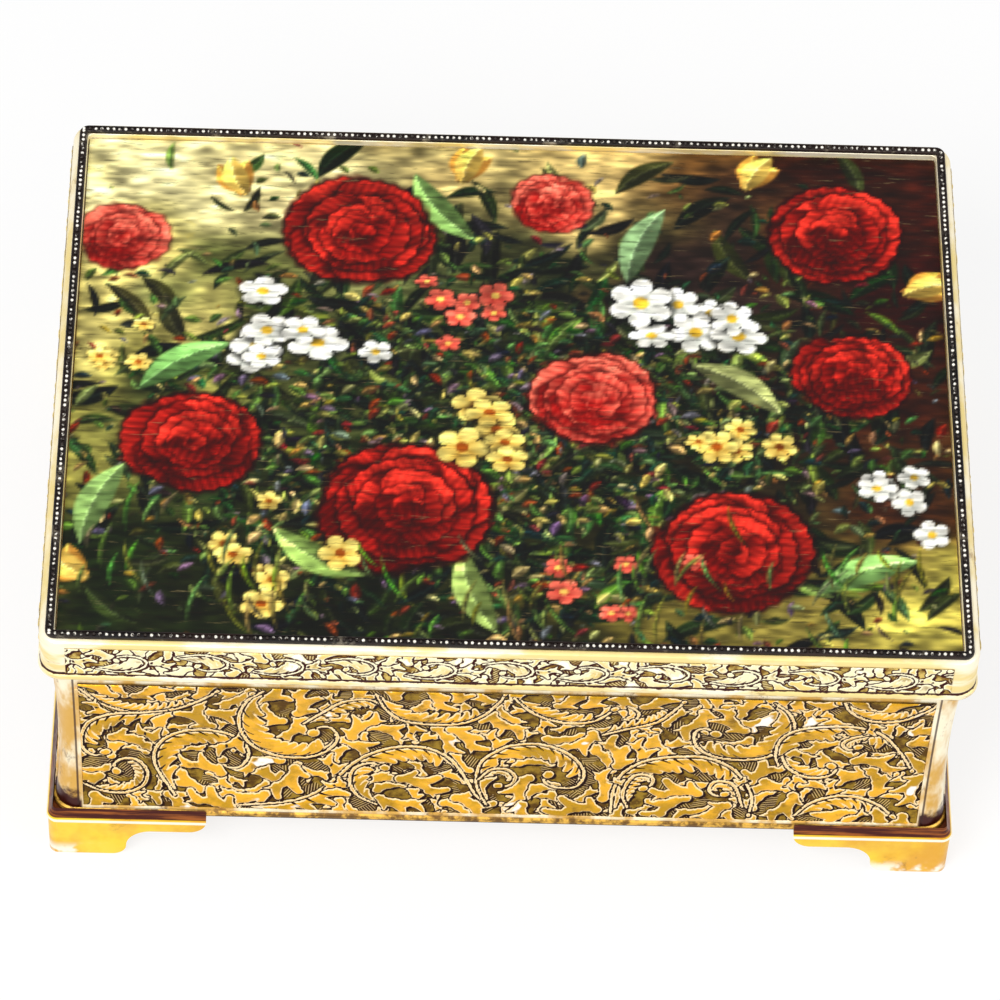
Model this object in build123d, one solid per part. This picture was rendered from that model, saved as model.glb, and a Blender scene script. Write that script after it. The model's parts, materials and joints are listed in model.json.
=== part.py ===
from build123d import *
import os
from math import cos, pi, sin, sqrt

# Musical jewelry box of gilt pressed metal on four bracket feet, with a picture set in its
# hinged lid and a pinned-cylinder musical movement in its right half.
# Millimetres. +X is the box's right, -Y its front, +Z up. The origin is the middle of the
# footprint, on the surface that the feet stand on.

# Overall sizes
box_height = 57.0
lid_length = 142.0
lid_depth = 104.0
lid_height = 9.8
lid_gap = 0.3
foot_height = 9.9
sheet = 0.8

# Lid
lid_corner = 3.2
lip_height = 1.4
lip_proud = 0.4
lip_round = 0.35
shoulder_radius = 0.9
border_inset = 1.0
border_width = 1.3
border_height = 0.8
border_bevel = 0.35
picture_drop = 2.0
ledge_width = 4.0
card_thickness = 0.8
silk_thickness = 0.3
card_clearance = 0.2
card_corner = 0.3
pad_board = 1.2
pad_rise = 1.5
pad_side_gap = 0.8
pad_corner = 1.5

# Body wall
lid_overhang = 1.3
waist_draw = 0.9
base_flare = 0.2
base_rim_proud = 0.4
base_rim_height = 0.9
rim_turn_in = 2.8
panel_margin = 3.7
panel_top_drop = 4.6
panel_base_rise = 1.4
fillet_width = 0.6
fillet_proud = 0.25

# Feet
foot_leg = 25.2
foot_sheet = 1.0
foot_proud = 1.1
foot_corner = 1.8
foot_flange = 4.4
cove_height = 1.4
bead_drop = 0.9
bead_proud = 0.3
bead_half = 0.5
pad_length = 10.2
ogee_lower = 2.3
ogee_upper = 4.1
nose_radius = 2.8

# Hinge
knuckle_count = 3
hinge_length = 60.0
knuckle_radius = 1.0
knuckle_gap = 0.15
hinge_drop = 0.6
pin_radius = 0.5
running_fit = 0.07
leaf_thickness = 0.8
leaf_height = 6.0
leaf_clearance = 0.3

# Linings
lining_wall = 1.4
lining_gap = 0.7
seat_gap = 0.2
floor_pad = 2.5
floor_corner = 0.8
ledge_wall = 1.2
deck_gap = 1.0
deck_thickness = 1.6
pane_thickness = 0.8
pane_rebate = 1.0
window_length = 52.0
window_width = 32.0

# Musical movement
movement_side_gap = 1.2
guide_side_gap = 1.3
spring_y = -13.0
bedplate_thickness = 2.0
bedplate_edge = 1.0
bedplate_corner = 3.0
arbor_radius = 1.75
key_hole_radius = 6.0
wheel_thickness = 1.2
wheel_module = 1.0
crown_teeth = 26
pinion_teeth = 13
crown_face = 1.6
tooth_share = 0.36
wheel_lift = 0.2
wheel_rim = 0.2
crown_depth = 1.6
drum_radius = 5.5
drum_length = 17.0
pin_height = 0.6
pin_size = 0.36
pins_per_note = 3
cylinder_shaft_radius = 1.2
gear_module = 0.5
gear_teeth = 32
governor_pinion_teeth = 8
gear_thickness = 1.4
bearing_thickness = 1.8
bearing_gap = 0.4
bearing_half_width = 3.6
bearing_rise = 3.6
bearing_bevel = 2.0
note_count = 18
comb_thickness = 1.2
tooth_thickness = 0.5
comb_tip_gap = 0.1
comb_tooth_length = 5.8
comb_base_width = 6.5
comb_slant = 2.5
housing_gap = 0.4
housing_lift = 0.3
housing_height = 14.0
housing_bevel = 1.2
spring_turns = 4
spring_strip = 0.35
leg_half_width = 1.8
leg_gap = 0.6
worm_wheel_teeth = 12
worm_wheel_thickness = 1.6
worm_radius = 0.75
worm_clearance = 0.15
worm_shaft_radius = 0.5
worm_above_axis = 5.1
governor_span = 5.2
bracket_base = 1.2
pivot_gap = 0.05
bracket_half = 1.6
bracket_arm_half = 1.5
bracket_front_reach = 5.6
bracket_back_reach = 4.5
upper_arm_half = 1.3
upper_arm_thickness = 1.4
column_gap = 2.4
column_width = 2.0
fan_radius = 4.3
fan_height = 3.4
fan_gap = 1.0
rod_radius = 0.8
rod_gap = 0.9
rod_side_gap = 0.1
rod_travel = 2.0
guide_wall = 0.8
guide_rise = 5.0
guide_height = 2.0
finger_height = 0.8
brake_gap = 0.4
key_span = 24.0
key_thickness = 1.6
key_floor_gap = 1.2
key_socket_depth = 3.2
key_top_gap = 2.4
screw_radius = 1.2
screw_head = 2.2
screw_head_height = 1.1
slot_width = 0.6
comb_screw_radius = 0.9
comb_screw_head = 1.5
comb_screw_head_height = 1.0
screw_sides = 8

# How far a cutting tool runs past the faces that it cuts
past = 1.0

# Places that follow from the sizes above
border_z = box_height - border_height
lid_z = box_height - lid_height
body_top = lid_z - lid_gap
ledge_z = border_z - picture_drop
lid_x = lid_length / 2
lid_y = lid_depth / 2
body_x = lid_x - lid_overhang
body_y = lid_y - lid_overhang
foot_x = body_x + base_flare + foot_proud + 0.4
foot_y = body_y + base_flare + foot_proud + 0.4
plate_top = foot_height + sheet
inner_x = body_x - waist_draw - sheet
inner_y = body_y - waist_draw - sheet
lining_x = inner_x - lining_gap
lining_y = inner_y - lining_gap
lining_base = plate_top + seat_gap
lining_top = body_top - sheet - seat_gap
hinge_y = lid_y - knuckle_radius
hinge_z = lid_z - hinge_drop
bed_top = plate_top + bedplate_thickness

# The movement's places along X, counted from the box's right wall inwards
rod_x = lining_x - lining_wall - ledge_wall - guide_side_gap - guide_wall - rod_radius
worm_x = rod_x - rod_radius - rod_gap - fan_radius
worm_wheel_radius = worm_wheel_teeth * gear_module / 2
governor_x = worm_x - worm_radius - worm_clearance - 0.8 * gear_module - worm_wheel_radius
gear_pitch_radius = gear_teeth * gear_module / 2
governor_pitch_radius = governor_pinion_teeth * gear_module / 2
movement_x = governor_x - governor_pitch_radius - gear_pitch_radius
comb_tip_x = movement_x - drum_radius - pin_height - comb_tip_gap
comb_x = comb_tip_x - comb_tooth_length
bed_left = comb_x - comb_base_width - bedplate_edge
bed_right = worm_x + column_gap + column_width + 0.8 * bedplate_edge
partition_x = bed_left - movement_side_gap - ledge_wall - lining_wall - seat_gap

# Its heights, from the bedplate up
wheel_z = bed_top + wheel_lift
crown_root_z = wheel_z + wheel_thickness
pinion_pitch_radius = pinion_teeth * wheel_module / 2
axis_z = crown_root_z + 0.9 * wheel_module + pinion_pitch_radius
housing_z = crown_root_z + crown_depth * wheel_module + housing_lift
housing_top = housing_z + housing_height
bracket_top = axis_z + worm_above_axis
fan_low = bracket_top + fan_gap
fan_top = fan_low + fan_height
deck_z = fan_top + brake_gap + finger_height + rod_travel + deck_gap

# Its places along Y, from the spring backwards
crown_pitch_radius = crown_teeth * wheel_module / 2
crown_rim_radius = crown_pitch_radius + crown_face / 2
housing_radius = crown_pitch_radius - crown_face / 2 - housing_gap
leg_reach = crown_rim_radius + wheel_rim + leg_gap + leg_half_width
pinion_y = spring_y + crown_pitch_radius
front_bearing_y = pinion_y + crown_face / 2 + 2 * bearing_gap
drum_start = front_bearing_y + bearing_thickness + bearing_gap
drum_end = drum_start + drum_length
gear_y = drum_end + bearing_gap
back_bearing_y = gear_y + gear_thickness + bearing_gap
worm_y = gear_y - governor_span
governor_front = worm_y - bracket_front_reach
bed_front = spring_y - leg_reach - leg_half_width - 0.8 * bedplate_edge
bed_back = back_bearing_y + bearing_thickness + 1.2 * bedplate_edge
governor_shaft_radius = worm_shaft_radius + 0.1
key_place = (movement_x, spring_y)
key_root_z = foot_height - key_socket_depth


def cylinder_between(x, y, low, high, radius):
    """An upright cylinder from one height to another."""
    return Pos(x, y, (low + high) / 2) * Cylinder(radius, high - low)


def screw_part(x, y, low, high, radius):
    """An upright stretch of a screw, or of the hole that it fills, with flats instead of a thread."""
    return Pos(x, y, low) * extrude(RegularPolygon(radius, screw_sides), amount=high - low)


def cylinder_along_y(x, z, start, end, radius):
    """A cylinder lying along Y."""
    return Pos(x, (start + end) / 2, z) * Rot(90, 0, 0) * Cylinder(radius, end - start)


def block(low, high):
    """A box from its lowest corner to its highest."""
    sizes = [b - a for a, b in zip(low, high)]
    middle = [(a + b) / 2 for a, b in zip(low, high)]
    return Pos(*middle) * Box(*sizes)


def cut_corner_outline(half_x, half_y, corner, height):
    """A level rectangle with its four corners cut off, centred on the box."""
    return Pos(0, 0, height) * chamfer(Rectangle(2 * half_x, 2 * half_y).vertices(), corner)


def slab(half_x, half_y, corner, low, high):
    """A plate with rounded corners, centred on the box."""
    outline = RectangleRounded(2 * half_x, 2 * half_y, corner)
    return Pos(0, 0, low) * extrude(outline, amount=high - low)


def swept_ring(section, half_x, half_y, corner):
    """Carry a section, drawn outwards from X = 0 in the XZ plane, round a rounded rectangle."""
    pieces = []
    for turn in range(4):
        reach, run = (half_x, half_y) if turn % 2 == 0 else (half_y, half_x)
        side = extrude(Pos(reach, 0, 0) * section, amount=run - corner, both=True)
        axis = Axis((reach - corner, run - corner, 0), (0, 0, 1))
        bend = revolve(Pos(reach, run - corner, 0) * section, axis=axis, revolution_arc=90)
        pieces.append(Rot(0, 0, 90 * turn) * side)
        pieces.append(Rot(0, 0, 90 * turn) * bend)
    return Part() + pieces


def section_of(*edges):
    """A face in the XZ plane from a closed run of edges."""
    return make_face(Wire(list(edges)))


def runs(*points):
    """Straight edges through points given as (outward, height)."""
    return [Line((a[0], 0, a[1]), (b[0], 0, b[1])) for a, b in zip(points, points[1:])]


def arc(start, middle, end):
    """An arc through three points given as (outward, height)."""
    return ThreePointArc(*((p[0], 0, p[1]) for p in (start, middle, end)))


def wall_offset(outward):
    """The coved wall's start, waist and top, moved outwards from the real surface."""
    low = foot_height + base_rim_height + 0.3
    return [
        (base_flare + outward, low),
        (outward - waist_draw, (low + body_top) / 2),
        (outward, body_top),
    ]


def panel_frames():
    """Bars on both sides and both ends of the body, as wide as a panel's raised fillet."""
    low = foot_height + panel_base_rise
    high = body_top - panel_top_drop
    frames = []
    sides = ((body_x - panel_margin, 0, lid_depth), (body_y - panel_margin, 90, lid_length))
    for half, turn, depth in sides:
        outer = Box(2 * half, depth, high - low)
        inner = Box(2 * (half - fillet_width), 2 * depth, high - low - 2 * fillet_width)
        frames.append(Pos(0, 0, (low + high) / 2) * Rot(0, 0, turn) * (outer - inner))
    return frames


def body_shell():
    """The coved wall with its base rim, its rim turned in at the top and its panel fillets."""
    outer = wall_offset(0)
    inner = wall_offset(-sheet)
    rim = base_flare + base_rim_proud
    top = inner[2][1] - sheet
    inner_top = (-sheet, top)
    rim_top = foot_height + base_rim_height
    section = section_of(
        *runs((base_flare - sheet, foot_height), (rim, foot_height), (rim, rim_top), outer[0]),
        arc(*outer),
        *runs((0, body_top), (-rim_turn_in, body_top), (-rim_turn_in, top), inner_top),
        arc(inner_top, inner[1], inner[0]),
        *runs(inner[0], (base_flare - sheet, foot_height)),
    )
    wall = swept_ring(section, body_x, body_y, lid_corner)
    proud = wall_offset(fillet_proud)
    skin_section = section_of(
        arc(*proud),
        *runs(proud[2], outer[2]),
        arc(*reversed(outer)),
        *runs(outer[0], proud[0]),
    )
    skin = swept_ring(skin_section, body_x, body_y, lid_corner)
    for frame in panel_frames():
        wall += skin & frame
    half = hinge_length / 2 + leaf_clearance
    low = hinge_z - knuckle_radius - leaf_clearance
    return wall - block((-half, inner_y - rim_turn_in - leaf_clearance, low), (half, lid_y, body_top + 1))


def screw_places():
    """The three screws that hold the bedplate, two in front and one behind the gear."""
    inset = bedplate_corner + 1
    return [(bed_left + inset, bed_front + inset), (bed_right - inset, bed_front + inset),
            (movement_x, bed_back - inset)]


def bottom_plate():
    gap = 0.1
    half_x = body_x + base_flare - sheet - gap
    half_y = body_y + base_flare - sheet - gap
    plate = extrude(cut_corner_outline(half_x, half_y, lid_corner - sheet, foot_height), amount=sheet)
    plate -= cylinder_between(*key_place, foot_height - past, plate_top + past, key_hole_radius)
    for x, y in screw_places():
        plate -= screw_part(x, y, foot_height - past, plate_top + past, screw_radius)
    return plate


def ogee_leg():
    """The outline of one leg of a bracket foot, outer end at X = 0, running towards -X."""
    nose_end = -foot_leg
    thin_z = ogee_lower + ogee_upper
    ogee_start = -pad_length
    middle = ogee_start - ogee_lower
    thin_start = middle - ogee_upper
    high = foot_height + cove_height
    half = sqrt(0.5)
    nose = nose_radius * (1 - half)
    nose_start = nose_end + nose_radius
    nose_top = thin_z + nose_radius
    return section_of(
        *runs((0, high), (0, 0), (ogee_start, 0)),
        arc((ogee_start, 0), (ogee_start - ogee_lower * half, ogee_lower * (1 - half)), (middle, ogee_lower)),
        arc((middle, ogee_lower), (middle - ogee_upper * (1 - half), ogee_lower + ogee_upper * half),
            (thin_start, thin_z)),
        *runs((thin_start, thin_z), (nose_start, thin_z)),
        arc((nose_start, thin_z), (nose_end + nose, thin_z + nose), (nose_end, nose_top)),
        *runs((nose_end, nose_top), (nose_end, high), (0, high)),
    )


def feet():
    """Four L-shaped brackets cut from one moulded ring, each with its cove, bead and flange."""
    reach = foot_x - body_x
    inner = base_flare + base_rim_proud - reach
    top = foot_height + cove_height
    bead_z = foot_height - bead_drop
    face = -bead_proud
    section = section_of(
        *runs((-foot_sheet, 0), (face, 0), (face, bead_z - bead_half), (0, bead_z),
              (face, bead_z + bead_half), (inner * 0.7, foot_height + 0.35),
              (inner, top), (inner, bead_z), (-foot_sheet, bead_z), (-foot_sheet, 0)),
    )
    ring = swept_ring(section, foot_x, foot_y, foot_corner)
    out_x = foot_x - foot_sheet
    out_y = foot_y - foot_sheet
    in_x = out_x - foot_flange
    in_y = out_y - foot_flange
    flange = block((-out_x, -out_y, bead_z), (out_x, out_y, foot_height))
    ring += flange - block((-in_x, -in_y, bead_z - past), (in_x, in_y, foot_height + past))
    strip = foot_sheet + foot_flange + 0.6
    leg = ogee_leg()
    leg_x = extrude(Pos(foot_x, -foot_y, 0) * leg, amount=strip, dir=(0, 1, 0))
    leg_y = extrude(Pos(foot_x, -foot_y, 0) * Rot(0, 0, -90) * leg, amount=strip, dir=(-1, 0, 0))
    corner = leg_x + leg_y
    made = {}
    for side, mirror_x in (("left", True), ("right", False)):
        for end, mirror_y in (("front", False), ("back", True)):
            tool = corner
            if mirror_x:
                tool = mirror(tool, about=Plane.YZ)
            if mirror_y:
                tool = mirror(tool, about=Plane.XZ)
            made["foot_" + end + "_" + side] = ring & tool
    return made


def lid_frame():
    """The lid's band, lower lip, rounded shoulder and sunk ledge, as one pressing."""
    step_out = border_inset + border_width + 0.1
    lip_top = lid_z + lip_height
    bend = shoulder_radius * (1 - sqrt(0.5))
    section = section_of(
        *runs((-sheet, lid_z), (0, lid_z), (lip_proud, lid_z + lip_round), (lip_proud, lip_top - lip_round),
              (0, lip_top), (0, border_z - shoulder_radius), (-bend, border_z - bend),
              (-shoulder_radius, border_z), (-step_out, border_z), (-step_out, ledge_z - sheet),
              (sheet - step_out, ledge_z - sheet), (sheet - step_out, border_z - sheet),
              (-sheet, border_z - sheet), (-sheet, lid_z)),
    )
    frame = swept_ring(section, lid_x, lid_y, lid_corner)
    grow = sheet / 2 - step_out
    draw = step_out + ledge_width
    frame += slab(lid_x + grow, lid_y + grow, 1.0, ledge_z - sheet, ledge_z)
    frame -= block((draw - lid_x, draw - lid_y, ledge_z - past), (lid_x - draw, lid_y - draw, ledge_z + past))
    half = hinge_length / 2 + leaf_clearance
    high = hinge_z + knuckle_radius + leaf_clearance
    return frame - block((-half, lid_y - sheet - 0.2, lid_z - 1), (half, lid_y + 1, high))


def gallery_border():
    """The strip that stands round the picture, bevelled along its top."""
    side_top = box_height - border_bevel
    section = section_of(
        *runs((-border_width, border_z), (0, border_z), (0, side_top), (-border_bevel, box_height),
              (border_bevel - border_width, box_height), (-border_width, side_top),
              (-border_width, border_z)),
    )
    return swept_ring(section, lid_x - border_inset, lid_y - border_inset, border_width + 0.2)


def picture_pieces():
    """The card and the printed silk over it, lying on the lid's ledge inside the border."""
    half_x = lid_x - border_inset - border_width - 0.1 - card_clearance
    half_y = lid_y - border_inset - border_width - 0.1 - card_clearance
    card_top = ledge_z + card_thickness
    card = extrude(cut_corner_outline(half_x, half_y, card_corner, ledge_z), amount=card_thickness)
    silk = extrude(cut_corner_outline(half_x, half_y, card_corner, card_top), amount=silk_thickness)
    return card, silk


def lid_lining():
    """The padded board under the ledge, crowned towards the box."""
    half_x = lid_x - sheet - pad_side_gap
    half_y = hinge_y - knuckle_radius - leaf_clearance
    top = ledge_z - sheet
    edge = top - pad_board
    levels = ((top, 0), (edge, 0), (edge - 0.6 * pad_rise, 1.2 * pad_rise), (edge - pad_rise, 4 * pad_rise))
    rings = [cut_corner_outline(half_x - draw, half_y - draw, pad_corner, height) for height, draw in levels]
    return loft(rings, ruled=True)


def knuckles(own):
    """The barrel segments and the bore of one hinge half: own is 0 for the box, 1 for the lid."""
    pitch = hinge_length / knuckle_count
    segments = []
    for index in range(knuckle_count):
        if index % 2 != own:
            continue
        low = index * pitch - hinge_length / 2 + knuckle_gap / 2
        high = low + pitch - knuckle_gap
        segments.append((low, high))
    return segments


def barrel(low, high, radius):
    return Pos((low + high) / 2, hinge_y, hinge_z) * Rot(0, 90, 0) * Cylinder(radius, high - low)


def hinge_body_leaf():
    """A leaf on the inside of the back wall, joined to its knuckles through the wall's notch."""
    outer = inner_y + leaf_clearance
    web_z = hinge_z - knuckle_radius + leaf_thickness
    half = hinge_length / 2 - knuckle_gap / 2
    leaf = block((-half, outer - leaf_thickness, hinge_z - leaf_height), (half, outer, web_z))
    for low, high in knuckles(0):
        leaf += block((low, outer - leaf_thickness, hinge_z - knuckle_radius), (high, hinge_y, web_z))
        leaf += barrel(low, high, knuckle_radius)
    return leaf - barrel(-hinge_length, hinge_length, pin_radius)


def hinge_lid_leaf():
    """A leaf on the inside of the lid's back, standing up from its knuckles."""
    outer = lid_y - sheet
    high_z = hinge_z + leaf_height
    clear_z = hinge_z + knuckle_radius + leaf_clearance
    half = hinge_length / 2 - knuckle_gap / 2
    leaf = block((-half, outer - leaf_thickness, clear_z), (half, outer, high_z))
    for low, high in knuckles(1):
        leaf += block((low, outer - leaf_thickness, hinge_z), (high, outer, clear_z))
        leaf += barrel(low, high, knuckle_radius)
    return leaf - barrel(-hinge_length, hinge_length, pin_radius + running_fit)


def hinge_pin():
    return barrel(-hinge_length / 2, hinge_length / 2, pin_radius)


def tray(low_x, high_x):
    """The outer block of one lining, from the bottom plate to under the rim."""
    return block((low_x, -lining_y, lining_base), (high_x, lining_y, lining_top))


def well_lining():
    hollow = block((-lining_x + lining_wall, -lining_y + lining_wall, lining_base + lining_wall),
                   (partition_x - lining_wall, lining_y - lining_wall, lining_top + 1))
    return tray(-lining_x, partition_x) - hollow


def well_floor_pad():
    """The padded floor of the well, with a crowned top and drawn-in edges."""
    low = lining_base + lining_wall
    middle = (partition_x - lining_x) / 2
    half_x = (partition_x + lining_x) / 2 - lining_wall - seat_gap
    half_y = lining_y - lining_wall - seat_gap
    levels = ((0, 0.3), (0.35, 0), (0.75, 0.8), (1.0, 5.0))
    rings = []
    for share, draw in levels:
        height = low + share * floor_pad
        rings.append(cut_corner_outline(half_x - draw, half_y - draw, floor_corner, height))
    return Pos(middle, 0, 0) * loft(rings, ruled=True)


def movement_surround():
    """The liner round the movement, thicker below the shelf to carry it."""
    low_x = partition_x + seat_gap
    upper = block((low_x + lining_wall, -lining_y + lining_wall, deck_z),
                  (lining_x - lining_wall, lining_y - lining_wall, lining_top + 1))
    wall = lining_wall + ledge_wall
    lower = block((low_x + wall, -lining_y + wall, lining_base - 1),
                  (lining_x - wall, lining_y - wall, deck_z + 1))
    return tray(low_x, lining_x) - upper - lower


def window_middle():
    """The middle of the clear pane, over the spring drum, the comb and the cylinder."""
    return (bed_left + bed_right) / 2, (bed_front + bed_back) / 2


def movement_deck():
    low_x = partition_x + seat_gap + lining_wall + card_clearance
    high_x = lining_x - lining_wall - card_clearance
    half_y = lining_y - lining_wall - card_clearance
    deck = block((low_x, -half_y, deck_z), (high_x, half_y, deck_z + deck_thickness))
    x, y = window_middle()
    deck -= Pos(x, y, deck_z) * Box(window_width, window_length, 4 * deck_thickness)
    rebate_z = deck_z + deck_thickness - pane_thickness
    width = window_width + 2 * pane_rebate
    length = window_length + 2 * pane_rebate
    deck -= Pos(x, y, rebate_z + deck_thickness) * Box(width, length, 2 * deck_thickness)
    deck_top = deck_z + deck_thickness
    return deck - cylinder_between(rod_x, worm_y, deck_z - past, deck_top + past, rod_radius + rod_side_gap)


def movement_window():
    x, y = window_middle()
    width = window_width + 2 * (pane_rebate - 0.1)
    length = window_length + 2 * (pane_rebate - 0.1)
    top = deck_z + deck_thickness
    return Pos(x, y, top - pane_thickness / 2) * Box(width, length, pane_thickness)


def bedplate():
    """The cast base, with the raised seat that carries the comb."""
    plate = block((bed_left, bed_front, plate_top), (bed_right, bed_back, bed_top))
    plate = chamfer(plate.edges().filter_by(Axis.Z), bedplate_corner)
    plate += block((comb_x - comb_base_width, drum_start - 1.5, bed_top),
                   (comb_x - comb_slant, drum_end, axis_z - comb_thickness / 2))
    reach = gear_pitch_radius + 0.8 * gear_module + bearing_gap
    plate -= cylinder_along_y(movement_x, axis_z, gear_y - bearing_gap, back_bearing_y, reach)
    plate -= cylinder_between(*key_place, plate_top - past, bed_top + past, arbor_radius + running_fit)
    for x, y in screw_places():
        plate -= screw_part(x, y, plate_top - past, bed_top + past, screw_radius)
    return plate


def movement_screws():
    """Slotted screws from under the bottom plate into the bedplate."""
    screws = Part()
    low = foot_height - screw_head_height
    for x, y in screw_places():
        head = screw_part(x, y, low, foot_height, screw_head)
        slot = Pos(x, y, low) * Box(2 * screw_head + past, slot_width, screw_head_height)
        screws += head - slot + screw_part(x, y, foot_height, bed_top, screw_radius)
    return screws


def spring_housing():
    """A drum open below, on three arms and posts that stand outside the great wheel."""
    x, y = key_place
    bore = arbor_radius + running_fit
    wall = housing_radius - sheet
    drum_section = section_of(
        *runs((bore, housing_top - sheet), (wall, housing_top - sheet), (wall, housing_z),
              (housing_radius, housing_z), (housing_radius, housing_top - housing_bevel),
              (housing_radius - housing_bevel, housing_top), (bore, housing_top),
              (bore, housing_top - sheet)),
    )
    drum = revolve(drum_section, axis=Axis.Z)
    arm_top = housing_z + 1.5 * sheet
    inner = leg_reach - leg_half_width
    for angle in (0, 180, 270):
        arm = block((wall + sheet / 2, -leg_half_width, housing_z), (inner, leg_half_width, arm_top))
        post = block((inner, -leg_half_width, bed_top), (inner + 2 * leg_half_width, leg_half_width, arm_top))
        drum += Rot(0, 0, angle) * (arm + post)
    return Pos(x, y, 0) * drum


def mainspring():
    """The strip wound round the arbor inside the drum, standing just under the drum's top."""
    steps = 10
    start = arbor_radius + 0.5
    reach = housing_radius - sheet - leaf_clearance - spring_strip
    count = spring_turns * steps
    inside = []
    outside = []
    for index in range(count + 1):
        angle = 2 * pi * index / steps
        radius = start + (reach - start) * index / count
        inside.append((radius * cos(angle), radius * sin(angle)))
        radius += spring_strip
        outside.append((radius * cos(angle), radius * sin(angle)))
    strip = make_face(Polyline(*inside, *reversed(outside), close=True))
    low = housing_z + 1.0
    high = housing_top - sheet - leaf_clearance
    x, y = key_place
    return Pos(x, y, low) * extrude(strip, amount=high - low)


def winding_arbor():
    return cylinder_between(*key_place, key_root_z, housing_top + 0.6, arbor_radius)


def winding_key():
    """A wing key with two round lobes, screwed on the arbor under the box."""
    lobe = (foot_height - key_floor_gap - key_top_gap) / 2
    lobe_z = key_floor_gap + lobe
    lobe_x = key_span / 2 - lobe
    outline = Part()
    for side in (-1, 1):
        disc = Pos(side * lobe_x, 0, lobe_z) * Rot(90, 0, 0) * Cylinder(lobe, key_thickness)
        outline += disc
    outline += Pos(0, 0, lobe_z) * Box(2 * lobe_x, key_thickness, lobe * 1.3)
    stem = cylinder_between(0, 0, lobe_z, foot_height - 0.6, arbor_radius + 0.9)
    key = Pos(*key_place, 0) * (outline + stem)
    return key - cylinder_between(*key_place, key_root_z, foot_height, arbor_radius)


def gear_outline(teeth, module):
    """A closed outline of straight-flanked teeth, narrowed at the tip for running backlash."""
    pitch = 2 * pi / teeth
    radius = teeth * module / 2
    points = []
    for index in range(teeth):
        middle = index * pitch
        for reach, share in ((-0.9, -1.15), (0.8, -0.55), (0.8, 0.55), (-0.9, 1.15)):
            angle = middle + share * tooth_share * pitch / 2
            points.append(((radius + reach * module) * cos(angle), (radius + reach * module) * sin(angle)))
    return make_face(Polyline(*points, close=True))


def gear_along_y(teeth, module, start, end, phase):
    """A spur wheel on an axis along Y, a tooth turned to the phase in degrees."""
    wheel = extrude(Rot(0, 0, phase) * gear_outline(teeth, module), amount=end - start)
    return Pos(0, end, 0) * Rot(90, 0, 0) * wheel


def great_wheel():
    """The crown wheel on the winding arbor: a disc with upright teeth on its rim."""
    wheel = cylinder_between(0, 0, wheel_z, crown_root_z, crown_rim_radius + wheel_rim)
    pitch = 360 / crown_teeth
    half = wheel_module * pi * tooth_share / 2
    height = crown_depth * wheel_module
    root = (-1.15 * half, 0)
    flank = section_of(*runs(root, (1.15 * half, 0), (0.55 * half, height), (-0.55 * half, height), root))
    tooth = extrude(Pos(0, crown_rim_radius, crown_root_z) * flank, amount=crown_face, dir=(0, -1, 0))
    teeth = [Rot(0, 0, pitch * (index + 0.5)) * tooth for index in range(crown_teeth)]
    wheel = wheel + teeth - cylinder_between(0, 0, wheel_z - past, crown_root_z + past, arbor_radius)
    return Pos(*key_place, 0) * wheel


def cylinder_pinion():
    start = pinion_y - crown_face / 2
    end = pinion_y + crown_face / 2
    wheel = Pos(movement_x, 0, axis_z) * gear_along_y(pinion_teeth, wheel_module, start, end, -90)
    return wheel - cylinder_along_y(movement_x, axis_z, start - past, end + past, cylinder_shaft_radius)


def cylinder_gear():
    end = gear_y + gear_thickness
    wheel = Pos(movement_x, 0, axis_z) * gear_along_y(gear_teeth, gear_module, gear_y, end, 0)
    return wheel - cylinder_along_y(movement_x, axis_z, gear_y - past, end + past, cylinder_shaft_radius)


def cylinder_arbor():
    end = back_bearing_y + bearing_thickness + 0.4
    start = pinion_y - crown_face / 2
    return cylinder_along_y(movement_x, axis_z, start, end, cylinder_shaft_radius)


def note_y(note):
    """The middle of a note's track along the cylinder."""
    return drum_start + (note + 0.5) * drum_length / note_count


def cylinder():
    """The drum with its tune pins, spread round each track by a fixed rule."""
    drum = cylinder_along_y(movement_x, axis_z, drum_start, drum_end, drum_radius)
    drum -= cylinder_along_y(movement_x, axis_z, drum_start - past, drum_end + past, cylinder_shaft_radius)
    pin = Pos(0, 0, drum_radius + pin_height / 2 - 0.1) * Box(pin_size, pin_size, pin_height + 0.2)
    steps = note_count * pins_per_note
    pins = []
    for note in range(note_count):
        for beat in range(pins_per_note):
            step = (beat * note_count + note * 7 + beat * beat * 3) % steps
            pins.append(Pos(movement_x, note_y(note), axis_z) * Rot(0, 360 * step / steps, 0) * pin)
    return drum + pins


def comb_screw_places():
    x = comb_x - comb_base_width / 2 - comb_slant / 4
    return [(x, drum_start + drum_length * share) for share in (0.2, 0.8)]


def comb():
    """A steel comb: a thick base with a slanted front edge and one thin tooth to each note."""
    low = axis_z - comb_thickness / 2
    start = drum_start - 0.5
    end = drum_end - 0.1
    back = comb_x - comb_base_width
    outline = Polyline((back, start), (comb_x - comb_slant, start), (comb_x, end), (back, end), close=True)
    base = Pos(0, 0, low) * extrude(make_face(outline), amount=comb_thickness)
    pitch = drum_length / note_count
    teeth = []
    for note in range(note_count):
        y = note_y(note)
        share = (y - start) / (end - start)
        root = comb_x - comb_slant * (1 - share) - 0.6
        teeth.append(block((root, y - 0.32 * pitch, axis_z - tooth_thickness / 2),
                           (comb_tip_x, y + 0.32 * pitch, axis_z + tooth_thickness / 2)))
    base = base + teeth
    for x, y in comb_screw_places():
        base -= screw_part(x, y, low - past, low + comb_thickness + past, comb_screw_radius)
    return base


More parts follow.
